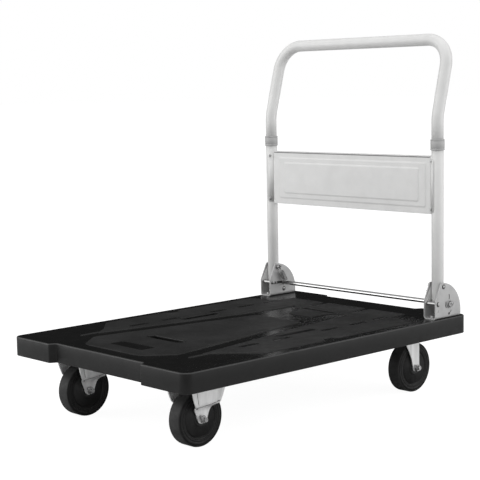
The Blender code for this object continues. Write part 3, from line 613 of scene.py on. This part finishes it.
# Half profiles of the turned parts, as (distance along the axle, radius) pairs
TYRE_SIDE = [(0.0000, 0.0600), (0.0140, 0.0600), (0.0154, 0.0596), (0.0161, 0.0588), (0.0163, 0.0578),
             (0.0163, 0.0574), (0.0140, 0.0571), (0.0140, 0.0557), (0.0163, 0.0553), (0.0163, 0.0502),
             (0.0154, 0.0498), (0.0154, 0.0488), (0.0161, 0.0484), (0.0160, 0.0446), (0.0000, 0.0444)]
HUB_SIDE = [(0.0000, 0.0443), (0.0155, 0.0443), (0.0158, 0.0438), (0.0157, 0.0422), (0.0118, 0.0416),
            (0.0118, 0.0396), (0.0150, 0.0390), (0.0146, 0.0195), (0.0170, 0.0178), (0.0187, 0.0168),
            (0.0190, 0.0157), (0.0190, 0.0054), (0.0000, 0.0054)]


def two_sided(half):
    """Return a closed profile from its half, mirrored along the axle."""
    return half + [(-along, radius) for along, radius in reversed(half[1:-1])]


def paint_tread(work, centre):
    """Give a tyre's running surface its own, duller look."""
    tread = max(radius for _, radius in TYRE_SIDE) - 0.0010
    for face in work.faces:
        middle = face.calc_center_median() - centre
        face.material_index = 1 if math.hypot(middle.y, middle.z) > tread else 0


def wheels():
    """Build the tyres and hubs with their rolled shoulders and stepped sides."""
    for prefix in ("front_left", "front_right", "rear_left", "rear_right"):
        centre = centre_of(prefix + "_tyre")
        for part, profile, looks in (("tyre", TYRE_SIDE, [SIDEWALL, TREAD]), ("hub", HUB_SIDE, [HUB])):
            work = bmesh.new()
            lathe(work, "X", centre, two_sided(profile), 96)
            face_out(work)
            if part == "tyre":
                paint_tread(work, centre)
            piece(f"{prefix}_{part}_turned", work, looks, prefix + "_wheel", [f"{prefix}_{part}"])


# Handle ----------

HANDLE_KNEE_Z = 0.664
KNEE_RADIUS = 0.110
GRIP_RADIUS = 0.065


def handle_path():
    """Return the centre line of the upper handle, leaning back above its bend."""
    bar = Vector((0.0, HANDLE_HIGH.y - TUBE_RADIUS, HANDLE_HIGH.z - TUBE_RADIUS))
    knee = Vector((0.0, TUBE_Y, HANDLE_KNEE_Z))
    lean = math.atan2(bar.y - knee.y, bar.z - knee.z)
    direction = Vector((0.0, math.sin(lean), math.cos(lean)))
    start = knee.z - KNEE_RADIUS * math.tan(lean / 2)
    half = [Vector((-TUBE_X, TUBE_Y, SEAM_Z + GAP))]
    for i in range(9):
        a = lean * i / 8
        back, rise = KNEE_RADIUS * (1 - math.cos(a)), KNEE_RADIUS * math.sin(a)
        half.append(Vector((-TUBE_X, TUBE_Y + back, start + rise)))
    corner = knee + direction * ((bar - knee).length - GRIP_RADIUS)
    for i in range(17):
        a = math.radians(90) * i / 16
        across = Vector((GRIP_RADIUS * (1 - math.cos(a)) - TUBE_X, 0.0, 0.0))
        half.append(corner + direction * (GRIP_RADIUS * math.sin(a)) + across)
    return half + [Vector((-p.x, p.y, p.z)) for p in reversed(half)]


def handle_tubes():
    """Build the bent upper tube and the two lower tubes, which are open at the foot."""
    work = bmesh.new()
    sweep(work, handle_path(), TUBE_RADIUS, 40)
    face_out(work)
    piece("upper_handle_tube", work, [PAINT], "handle", ["upper_handle"])
    inner = TUBE_RADIUS - TUBE_WALL
    for side in ("left", "right"):
        centre = centre_of("lower_tube_" + side)
        work = bmesh.new()
        low, high = TUBE_LOW.z - centre.z, TUBE_HIGH.z - centre.z
        profile = [(low, inner + 0.0004), (low, TUBE_RADIUS - 0.0004), (low + 0.0005, TUBE_RADIUS),
                   (high - 0.0003, TUBE_RADIUS), (high, TUBE_RADIUS - 0.0003), (high, inner)]
        lathe(work, "Z", centre, profile, 40)
        face_out(work)
        piece(f"lower_tube_{side}_coated", work, [PAINT], "handle", ["lower_tube_" + side])


COLLAR_SIDE = [(-0.0125, 0.0146), (-0.0125, 0.0164), (-0.0120, 0.0170), (-0.0102, 0.0170), (-0.0096, 0.0163),
               (-0.0086, 0.0163), (-0.0082, 0.0166), (0.0082, 0.0166), (0.0086, 0.0163), (0.0096, 0.0163),
               (0.0102, 0.0170), (0.0120, 0.0170), (0.0125, 0.0164), (0.0125, 0.0146)]


def collars():
    """Build the collars over the seams of the handle, with a bead at each end."""
    for side in ("left", "right"):
        work = bmesh.new()
        lathe(work, "Z", centre_of("collar_" + side), COLLAR_SIDE, 40)
        face_out(work)
        piece(f"collar_{side}_beaded", work, [COLLAR], "handle", ["collar_" + side])


PANEL_SHEET = 0.0016
PANEL_FOLD = 0.0018
PANEL_SET_BACK = 0.0075
LIP_SHEET = 0.0010
# Where round the tube the lip starts and ends, in degrees
LIP_START = 207.5
LIP_END = 273
LIP_CORNER = 0.008
PANEL_GROOVE = 0.0022
PANEL_GROOVE_WIDTH = 0.0026


def panel_face(work, front, low, high, reach):
    """Add the pressed face between the tubes, drawn in x and z, with its height towards the front."""
    middle = (low + high) / 2
    # Outline, start height and end height of each step of the emboss
    outer = rectangle((-reach, low), (reach, high), 0.0008, 2)
    frames = [(rectangle((-0.243, middle - 0.0530), (0.248, middle + 0.0520), 0.006, 5), 0.0000, 0.0011),
              (rectangle((-0.222, middle - 0.0400), (0.227, middle + 0.0390), 0.005, 5), 0.0011, 0.0022)]
    slope = 0.0024
    groove_low, groove_high = high - PANEL_GROOVE - PANEL_GROOVE_WIDTH, high - PANEL_GROOVE
    groove = rectangle((-reach + 0.002, groove_low), (reach - 0.002, groove_high), 0.0006, 2)
    wall(work, outer, [(-PANEL_SHEET, 0.0), (-0.0004, 0.0), (0.0, -0.0004)])
    edges = [offset(frames[0][0], slope), groove]
    fill(work, offset(outer, -0.0004), edges, 0.0)
    # The groove's walls and floor take the dark paint of a painted shadow.
    wall(work, groove, [(0.0, 0.0), (-0.0013, -0.0002)], 1)
    fill(work, offset(groove, -0.0002), [], -0.0013, 1)
    for number, (outline, start, end) in enumerate(frames):
        rise = end - start
        wall(work, outline, [(start, slope), (start + 0.2 * rise, 0.0010), (start + 0.8 * rise, -0.0010),
                             (end, -slope)])
        holes = [offset(frames[1][0], slope)] if number == 0 else []
        fill(work, offset(outline, -slope), holes, end)
    fill(work, outer, [], -PANEL_SHEET, up=False)
    upright = Matrix.Translation((0.0, front, 0.0)) @ Matrix.Rotation(math.pi / 2, 4, "X")
    bmesh.ops.transform(work, matrix=upright, verts=work.verts)


def panel_lips(work, side, low, high):
    """Add the end of the sheet that wraps round the front of a tube, its corners rounded."""
    outer = TUBE_RADIUS + GAP + LIP_SHEET
    inner = TUBE_RADIUS + GAP
    steps = 18
    length = math.radians(LIP_END - LIP_START) * outer
    loops = []
    for k in range(steps + 1):
        angle = math.radians(LIP_START + (LIP_END - LIP_START) * k / steps)
        left = length * (1 - k / steps)
        shy = 0.0
        if left < LIP_CORNER:
            shy = LIP_CORNER - math.sqrt(max(0.0, LIP_CORNER ** 2 - (LIP_CORNER - left) ** 2))
        loop = []
        for radius, z in ((outer, low + shy), (outer, high - shy), (inner, high - shy), (inner, low + shy)):
            x, y = TUBE_X + radius * math.cos(angle), TUBE_Y + radius * math.sin(angle)
            loop.append((side * x, y, z))
        loops.append(loop)
    skin(work, loops)


def back_panel():
    """Build the pressed back panel: embossed face, folded edges and lips round the tubes."""
    low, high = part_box("back_panel")
    front = TUBE_Y - PANEL_SET_BACK
    reach = TUBE_X - TUBE_RADIUS - GAP
    work = bmesh.new()
    panel_face(work, front, low.z, high.z, reach)
    tidy(work)
    for side in (-1, 1):
        lips = bmesh.new()
        panel_lips(lips, side, low.z + 0.004, high.z - 0.007)
        face_out(lips)
        for face in lips.faces:
            face.smooth = len(face.verts) == 4 and abs(face.normal.z) < 0.5
        merge(work, lips)
    for z in (low.z + PANEL_FOLD / 2, high.z - PANEL_FOLD / 2):
        size = (2 * (reach - 0.003), high.y - front - PANEL_SHEET, PANEL_FOLD)
        box(work, (0.0, (front + PANEL_SHEET + high.y) / 2, z), size)
    piece("back_panel_pressed", work, [PAINT, PANEL_GROOVE_SHADOW], "handle", ["back_panel"])


# Casters ----------

FIXED_SHEET = 0.003
# Outer face, height, half depth, rearward shift and emboss of a fixed bracket's leg
FIXED_LEG = [(0.0225, 0.0508, 0.0038, 0.0, 0.0), (0.0225, 0.0518, 0.0070, 0.0, 0.0),
             (0.0225, 0.0535, 0.0094, 0.0, 0.0), (0.0225, 0.0560, 0.0115, 0.0, 0.0),
             (0.0225, 0.0640, 0.0142, 0.0, 0.0), (0.0225, 0.0720, 0.0172, 0.0, 0.0),
             (0.0230, 0.0780, 0.0200, 0.0, 0.0), (0.0242, 0.0820, 0.0222, 0.0002, 0.0),
             (0.0280, 0.0860, 0.0255, 0.0006, 0.0), (0.0340, 0.0890, 0.0290, 0.0010, 0.0),
             (0.0385, 0.0915, 0.0320, 0.0012, 0.0008), (0.0398, 0.0945, 0.0342, 0.0014, 0.0020),
             (0.0402, 0.1000, 0.0366, 0.0017, 0.0025), (0.0410, 0.1100, 0.0405, 0.0021, 0.0025),
             (0.0417, 0.1200, 0.0436, 0.0024, 0.0025), (0.0422, 0.1300, 0.0464, 0.0026, 0.0025),
             (0.0424, 0.1400, 0.0488, 0.0028, 0.0020), (0.0425, 0.1470, 0.0500, 0.0022, 0.0005)]
# Share of the half depth at which the emboss ends, and the share over which it fades
EMBOSS_END = 0.74
EMBOSS_FADE = 0.10


def emboss_share(across):
    """Return how much of the emboss is reached at a share of a leg's half depth."""
    return max(0.0, min(1.0, (EMBOSS_END - abs(across)) / EMBOSS_FADE))


def leg_station(x, z, half, shift, emboss, sheet, count=25):
    """Return one loop round a leg's section, its middle pressed outwards."""
    outer, inner = [], []
    for i in range(count):
        t = 2 * i / (count - 1) - 1
        press = emboss * emboss_share(t)
        outer.append((x + press, shift + t * half, z))
        inner.append((x + press - sheet, shift + t * half, z))
    return outer + inner[::-1]


def fixed_brackets():
    """Build the pressed brackets of the front casters."""
    for side in ("left", "right"):
        node = f"front_{side}_caster_bracket"
        low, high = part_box(node)
        centre = Vector(((low.x + high.x) / 2, (low.y + high.y) / 2, 0.0))
        top = high.z
        half_y = (high.y - low.y) / 2
        right = [leg_station(*station, FIXED_SHEET) for station in FIXED_LEG]
        right.append(leg_station(0.0418, top - 0.0018, half_y, 0.0, 0.0, 0.0030))
        bend = leg_station(0.0395, top, half_y, 0.0, 0.0, 0.0020)
        right.append([(x, y, top if i < len(bend) // 2 else top - FIXED_SHEET)
                      for i, (x, y, _) in enumerate(bend)])
        left = [[(-x, y, z) for x, y, z in loop] for loop in reversed(right)]
        work = bmesh.new()
        skin(work, [[Vector(p) + centre for p in loop] for loop in right + left])
        face_out(work)
        made = piece(f"front_{side}_caster_pressed", work, [ZINC], "base", [node])
        soften(made, 0.0005, 40)
        leg_crease_shadows(f"front_{side}_caster_crease_shadows", centre)
        axle_end(f"front_{side}_axle_end", side)


def leg_place(z, across):
    """Return the point of a fixed bracket's outer face at a height and a share of its half depth."""
    stations = [station for station in FIXED_LEG if station[1] <= z]
    low = stations[-1]
    high = FIXED_LEG[min(len(stations), len(FIXED_LEG) - 1)]
    t = (z - low[1]) / max(high[1] - low[1], 0.0001)
    x, _, half, shift, emboss = [a + (b - a) * t for a, b in zip(low, high)]
    return Vector((x + emboss * emboss_share(across), shift + across * half, z))


def leg_crease_shadows(name, centre):
    """Build painted shade on both legs: dark beads along the emboss and the step, and a small dark hole in
    each.
    """
    front = [leg_place(0.0955 + 0.0055 * i, -EMBOSS_END) for i in range(9)]
    step = [leg_place(0.0890 + 0.0010 * i, -0.86 + 0.22 * i) for i in range(9)]
    work = bmesh.new()
    for sign in (1, -1):
        for path, wire in ((front, 0.0005), (step, 0.0006)):
            sweep(work, [Vector((sign * p.x, p.y, p.z)) + centre for p in path], wire, 8)
        hole = leg_place(0.0862, -0.80)
        flat_ring(work, centre.x + sign * hole.x, sign, (centre.y + hole.y, hole.z),
                  [(-0.0010, 0.0019), (0.0006, 0.0017)])
    face_out(work)
    piece(name, work, [ZINC_PAINTED_SHADE], "base")


def axle_end(name, side):
    """Build the flanged end of a front axle over its nut, with painted shade in its bore and round a small
    stud.
    """
    low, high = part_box(f"front_{side}_axle_nut")
    y, z = (low.y + high.y) / 2, (low.z + high.z) / 2
    flange, face = low.x + 0.0018, high.x + 0.0004
    bore, stud = (y - 0.0046, z + 0.0048), (y + 0.0040, z - 0.0022)
    work = bmesh.new()
    flat_ring(work, low.x, 1, (y, z), [(0.0, 0.0086), (0.0012, 0.0086), (0.0018, 0.0076)])
    lathe(work, "X", (0.0, y, z), [(flange, 0.0068), (high.x, 0.0068), (face, 0.0062)], 6, closed=False)
    flat_ring(work, flange, 1, bore, [(-0.0002, 0.0050), (high.x - low.x, 0.0050)])
    flat_ring(work, face, 1, bore, [(-0.0002, 0.0042), (0.0006, 0.0040)], 1)
    flat_ring(work, face, 1, stud, [(-0.0002, 0.0034), (0.0003, 0.0033)], 1)
    flat_ring(work, face, 1, stud, [(0.0, 0.0022), (0.0010, 0.0020)])
    face_out(work)
    piece(name, work, [FASTENER, ZINC_PAINTED_SHADE], "base", [f"front_{side}_axle_nut"])


PLATE_BOLT_X = 0.031
PLATE_BOLT_Y = 0.041
PLATE_BOLT_RADIUS = 0.0048
PLATE_BOLT_HEIGHT = 0.0050


def plate_bolt(name, place):
    """Build a flanged hexagon head hanging from a face, with a chamfered crown."""
    radius, height = PLATE_BOLT_RADIUS, PLATE_BOLT_HEIGHT
    flange = [(0.0, radius * 1.25), (0.0010, radius * 1.25), (0.0012, radius * 1.02)]
    head = [(0.0012, radius), (height - 0.0008, radius), (height, radius * 0.86)]
    work = bmesh.new()
    for profile, sides in ((flange, 24), (head, 6)):
        lathe(work, "Z", place, [(-drop, r) for drop, r in profile], sides, closed=False)
    face_out(work)
    for face in work.faces:
        face.smooth = False
    piece(name, work, [FASTENER], "base")


def caster_bolts():
    """Build the four plate bolts of every caster, seen from below."""
    for prefix, node in (("front_left", "caster_bracket"), ("front_right", "caster_bracket"),
                         ("rear_left", "caster_plate"), ("rear_right", "caster_plate")):
        low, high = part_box(f"{prefix}_{node}")
        for number, (u, v) in enumerate(((-1, -1), (1, -1), (-1, 1), (1, 1)), 1):
            x = (low.x + high.x) / 2 + u * PLATE_BOLT_X
            y = (low.y + high.y) / 2 + v * PLATE_BOLT_Y
            plate_bolt(f"{prefix}_plate_bolt_{number}", (x, y, high.z - 0.0031))


# Hinges ----------

def hinge_details():
    """Build the small parts and the springs of both hinge brackets."""
    rod = centre_of("release_bar")
    for side, sign in (("left", -1), ("right", 1)):
        low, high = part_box("hinge_bracket_" + side)
        outer = high.x if sign > 0 else low.x
        inner = low.x if sign > 0 else high.x
        rivet(f"hinge_rivet_{side}", inner, -sign)
        pivot_rivet(f"pivot_rivet_{side}", side, outer, sign)
        crease_shadows(f"hinge_creases_{side}", outer, sign, rod)
        guide_shadow(f"hinge_guide_shadow_{side}", inner, -sign, rod)
        bar_end(f"release_bar_end_{side}", sign, rod)
        cheek_painted_light(f"hinge_painted_light_{side}", side, sign)
        spring(f"return_spring_{side}_coil", side, inner, sign, rod)


def rivet(name, inner, out):
    """Build the slotted rivet low on a bracket's inner cheek, ringed and slotted in painted shade."""
    place = (0.386, 0.2015)
    work = bmesh.new()
    flat_ring(work, inner, out, place, [(-0.0002, 0.0060), (0.0004, 0.0058), (0.0005, 0.0046)], 1)
    flat_ring(work, inner, out, place,
              [(-0.0002, 0.0040), (0.0008, 0.0039), (0.0014, 0.0030), (0.0015, 0.0020)])
    face_out(work)
    piece(name, work, [FASTENER, ZINC_PAINTED_SHADE], "base")
    slot_bar = bmesh.new()
    box(slot_bar, (inner + out * 0.0015, *place), (0.0006, 0.0056, 0.0013))
    piece(name + "_slot", slot_bar, [ZINC_PAINTED_SHADE], "base")


def pivot_rivet(name, side, outer, sign):
    """Build the pivot's low head on the outer cheek, ringed by painted shade, and its inner end with a cross
    of painted shade.
    """
    work = bmesh.new()
    place = (PIVOT.y, PIVOT.z)
    flat_ring(work, outer, sign, place, [(-0.0003, 0.0058), (0.0005, 0.0056), (0.0006, 0.0044)], 1)
    flat_ring(work, outer, sign, place,
              [(-0.0003, 0.0038), (0.0010, 0.0036), (0.0016, 0.0026), (0.0017, 0.0012)])
    low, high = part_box("pivot_nut_" + side)
    face = low.x if sign > 0 else high.x
    flat_ring(work, outer, -sign, place, [(0.0, 0.0036), (abs(outer - face), 0.0036)])
    for angle in (0.35, 0.35 + math.pi / 2):
        cross = bmesh.new()
        box(cross, (0.0, 0.0, 0.0), (0.0006, 0.0118, 0.0020))
        turned = Matrix.Translation((face - sign * 0.0002, *place)) @ Matrix.Rotation(angle, 4, "X")
        bmesh.ops.transform(cross, matrix=turned, verts=cross.verts)
        merge(work, cross, 1)
    face_out(work)
    piece(name, work, [FASTENER, ZINC_PAINTED_SHADE], "handle", ["pivot_bolt_" + side])


def crease_shadows(name, outer, sign, rod):
    """Build painted shade on an outer cheek: dark beads along its pressed crease lines, its small hole and a
    ring round the stop pin's hole; and the stop pin's end.
    """
    work = bmesh.new()
    centre = Vector((outer, rod.y, rod.z))
    arc_bead(work, centre, 150, 212, 0.0140, 0.0009)
    arc_bead(work, centre + Vector((0.0, -0.0160, 0.0180)), -22, 22, 0.0160, 0.0009)
    arc_bead(work, Vector((outer, 0.358, 0.2005)), 150, 172, 0.0150, 0.0004)
    arc_bead(work, Vector((outer, rod.y + 0.0010, 0.2040)), -80, 0, 0.0055)
    flat_ring(work, outer, sign, (rod.y - 0.0010, 0.1962),
              [(-0.0002, 0.0031), (0.0003, 0.0031), (0.0004, 0.0026)])
    pin = centre_of("stop_pin_right")
    flat_ring(work, outer, sign, (pin.y - 0.0008, pin.z - 0.0006),
              [(-0.0002, 0.0058), (0.0003, 0.0058), (0.0004, 0.0050)])
    face_out(work)
    piece(name, work, [ZINC_PAINTED_SHADE], "base")
    pin_end = bmesh.new()
    flat_ring(pin_end, outer, sign, (pin.y + 0.0016, pin.z),
              [(0.0, 0.0042), (0.0009, 0.0040), (0.0014, 0.0030)])
    face_out(pin_end)
    piece(name + "_pin_end", pin_end, [ZINC_FLAT], "base")


def bar_end(name, sign, rod):
    """Build the release bar's cap, set off from its washer by a ring of painted shadow, with a scroll of
    dark arcs in painted shade on its face.
    """
    low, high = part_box("release_bar_washer_left" if sign < 0 else "release_bar_washer_right")
    face = high.x if sign > 0 else low.x
    bar_low, bar_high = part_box("release_bar")
    tip = bar_high.x if sign > 0 else bar_low.x
    work = bmesh.new()
    flat_ring(work, face, sign, (rod.y, rod.z), [(-0.0002, 0.0078), (0.0003, 0.0078), (0.0004, 0.0072)], 1)
    flat_ring(work, face, sign, (rod.y, rod.z),
              [(0.0, 0.0060), (abs(tip - face), 0.0060), (abs(tip - face) + 0.0006, 0.0052)])
    scroll = Vector((tip + sign * 0.0006, rod.y, rod.z))
    for first, last, radius in ((20, 200, 0.0026), (-80, 20, 0.0034)):
        arc = bmesh.new()
        arc_bead(arc, scroll, first, last, radius, 0.0006)
        merge(work, arc, 1)
    face_out(work)
    piece(name, work, [ZINC_FLAT, ZINC_PAINTED_SHADE], "release_bar")


def cheek_painted_light(name, side, sign):
    """Build a painted pool of light: a bright, less metallic zinc skin on the side of a bracket's left cheek
    that faces the tube.
    """
    low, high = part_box("hinge_bracket_" + side)
    inner = low.x + 0.0024
    foot = centre_of("release_bar").z + 0.0060
    outline = rounded([(low.y + 0.0016, foot, 0.001), (TUBE_Y + 0.012, foot, 0.001),
                       (TUBE_Y + 0.012, high.z - 0.0030, 0.001), (TUBE_Y - 0.0020, high.z - 0.0040, 0.003),
                       (low.y + 0.0016, high.z - 0.0420, 0.003)], 3)
    work = bmesh.new()
    skin(work, [[Vector((inner + height, p.x, p.y)) for p in outline] for height in (0.0001, 0.0004)])
    face_out(work)
    piece(name, work, [ZINC_PAINTED_LIGHT], "base")


def guide_shadow(name, inner, out, rod):
    """Build a strip of painted shadow in front of the release bar on an inner cheek, where a step of the
    cheek falls in shade, with two studs.
    """
    work = bmesh.new()
    low, high = rod.y - 0.0480, rod.y - 0.0065
    outline = rectangle((low, rod.z - 0.0010), (high, rod.z + 0.0052), 0.0025, 4)
    sides = [[Vector((inner + out * height, p.x, p.y)) for p in outline] for height in (-0.0002, 0.0004)]
    skin(work, sides, look=1)
    for y in (low + 0.0100, low + 0.0190):
        flat_ring(work, inner, out, (y, rod.z + 0.0020), [(0.0, 0.0030), (0.0012, 0.0028), (0.0016, 0.0018)])
    face_out(work)
    piece(name, work, [FASTENER, ZINC_PAINTED_SHADE], "base")


def spring(name, side, inner, sign, rod):
    """Build the return spring, hooked over the pivot bolt and the release bar."""
    x = inner - sign * 0.0095
    top = Vector((x, TUBE_Y + 0.0040, PIVOT.z - 0.0110))
    bottom = Vector((x, rod.y - 0.0022, rod.z + 0.0090))
    along = (bottom - top).normalized()
    across = Vector((1.0, 0.0, 0.0))
    up = along.cross(across)
    coils, steps, radius = 9, 16, 0.0048
    length = (bottom - top).length
    path = [Vector((x, TUBE_Y, PIVOT.z - 0.0048)), top - along * 0.0020 + up * 0.001]
    for i in range(coils * steps + 1):
        angle = 2 * math.pi * i / steps
        path.append(top + along * (length * i / (coils * steps))
                    + (across * math.cos(angle) + up * math.sin(angle)) * radius)
    path += [bottom + along * 0.0015, Vector((x, rod.y, rod.z + 0.0060))]
    arm = [point + Vector((0.0, -0.0120, 0.0)) for point in (top, bottom + Vector((0.0, 0.0030, 0.0)))]
    work = bmesh.new()
    sweep(work, path, 0.0009, 6)
    sweep(work, arm, 0.0009, 6)
    made = piece(name, work, [SPRING], None, [f"return_spring_{side}"])
    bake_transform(made)


# CAD nodes that stay ----------

# Finish and edge radius by a word in the node's name; the first word that fits counts
FINISHES = (("hinge_bracket", ZINC_FLAT, 0.0004), ("bracket_bolt", FASTENER, 0.0004),
            ("pivot_nut", FASTENER, 0.0004), ("stop_pin", FASTENER, 0.0003), ("panel_screw", FASTENER, 0.0),
            ("release_bar_washer", FASTENER, 0.0003), ("release_bar", STEEL, 0.0008),
            ("axle", FASTENER, 0.0005), ("king_pin", FASTENER, 0.0005), ("fork", ZINC, 0.0005),
            ("plate", ZINC, 0.0005))


def repaint():
    """Give every CAD node that stays its finish and rounded edges."""
    for name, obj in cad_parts.items():
        for word, look, width in FINISHES:
            if word in name:
                for material_slot in obj.material_slots:
                    material_slot.material = look
                if width:
                    soften(obj, width, 35)
                break


# Stage ----------

WHITE = (1.0, 1.0, 1.0, 1.0)
# Level direction from the camera to the cart, and the patch of floor that sends up little light
BEHIND = (-0.73, 0.68, 0.0)
DULL_CENTRE = (1.42, -1.33, 0.0)
DULL_RADIUS = (0.75, 1.15)


def stage():
    """Lay a pale floor and light it with soft boxes from both sides and above."""
    work = bmesh.new()
    bmesh.ops.create_grid(work, x_segments=1, y_segments=1, size=60.0)
    floor = piece("floor", work, [floor_material()], None)
    studio_world()
    softbox("left_softbox", (-2.7, -2.6, 1.2), (0.0, 0.0, 0.3), 2.4, 48.0)
    softbox("right_softbox", (2.7, 2.6, 1.2), (0.0, 0.0, 0.3), 2.4, 34.0)
    softbox("top_softbox", (0.2, -0.2, 3.4), (0.0, 0.0, 0.0), 2.0, 18.0)


def studio_world():
    """Light the scene from a room that is dark behind the cart, and show plain white behind it."""
    world = bpy.data.worlds.new("studio")
    bpy.context.scene.world = world
    world.use_nodes = True
    tree = world.node_tree
    toward = add(tree, "TexCoord").outputs["Generated"]
    facing = add(tree, "VectorMath", {0: toward, 1: BEHIND}, operation="DOT_PRODUCT").outputs["Value"]
    rise = add(tree, "SeparateXYZ", {"Vector": toward}).outputs["Z"]
    total = add(tree, "Math", {0: remap(tree, facing, 0.84, 0.015, -0.1, 0.72),
                               1: remap(tree, rise, 0.0, 0.28, 0.2, 0.9)})
    back = tree.nodes["Background"]
    back.inputs["Color"].default_value = WHITE
    tree.links.new(total.outputs["Value"], back.inputs["Strength"])
    seen = add(tree, "Background", {"Color": WHITE})
    mix = add(tree, "MixShader", {"Fac": add(tree, "LightPath").outputs["Is Camera Ray"],
                                  1: back.outputs["Background"], 2: seen.outputs["Background"]})
    tree.links.new(mix.outputs["Shader"], tree.nodes["World Output"].inputs["Surface"])


def floor_material():
    """Return a white floor that shows only a faint shadow and has a patch that sends up little light."""
    made, tree, shader = new_material("studio_floor", specular=0.0)
    place = add(tree, "NewGeometry").outputs["Position"]
    away = add(tree, "VectorMath", {0: place, 1: DULL_CENTRE}, operation="DISTANCE").outputs["Value"]
    bright = remap(tree, away, 0.0, 1.0, *DULL_RADIUS)
    tree.links.new(two_tone(tree, bright, grey(0.03), grey(0.62), 0.0, 1.0), shader.inputs["Base Color"])
    shader.inputs["Roughness"].default_value = 0.9
    glow = add(tree, "Emission", {"Strength": 1.36})
    seen = add(tree, "LightPath").outputs["Is Camera Ray"]
    weight = add(tree, "Math", {0: seen, 1: 0.70}, operation="MULTIPLY")
    mix = add(tree, "MixShader", {"Fac": weight.outputs["Value"], 1: shader.outputs["BSDF"],
                                  2: glow.outputs["Emission"]})
    tree.links.new(mix.outputs["Shader"], tree.nodes["Material Output"].inputs["Surface"])
    return made


def softbox(name, place, target, size, power):
    """Add a square area light that faces a point."""
    light = bpy.data.lights.new(name, "AREA")
    light.size = size
    light.energy = power
    made = bpy.data.objects.new(name, light)
    made.location = place
    made.rotation_euler = (Vector(target) - Vector(place)).to_track_quat("-Z", "Y").to_euler()
    bpy.context.scene.collection.objects.link(made)


CAMERA_PLACE = (2.2137, -2.0896, 0.7384)
CAMERA_YAW = math.radians(46.875)
CAMERA_DROP = math.radians(6.589)
CAMERA_ROLL = math.radians(-1.0387)
SENSOR = 36.0
LENS = 98.598


def camera():
    """Add the camera at the photograph's viewing angle."""
    data = bpy.data.cameras.new("camera")
    data.sensor_width = SENSOR
    data.lens = LENS
    data.clip_start = 0.05
    data.clip_end = 100.0
    made = bpy.data.objects.new("camera", data)
    turn = (Matrix.Rotation(CAMERA_YAW, 4, "Z") @ Matrix.Rotation(math.pi / 2 - CAMERA_DROP, 4, "X")
            @ Matrix.Rotation(CAMERA_ROLL, 4, "Z"))
    made.matrix_world = Matrix.Translation(CAMERA_PLACE) @ turn
    bpy.context.scene.collection.objects.link(made)
    bpy.context.scene.camera = made
    bpy.context.scene.view_settings.view_transform = "Standard"


deck_shell()
wheels()
handle_tubes()
collars()
back_panel()
fixed_brackets()
caster_bolts()
hinge_details()
repaint()
stage()
camera()
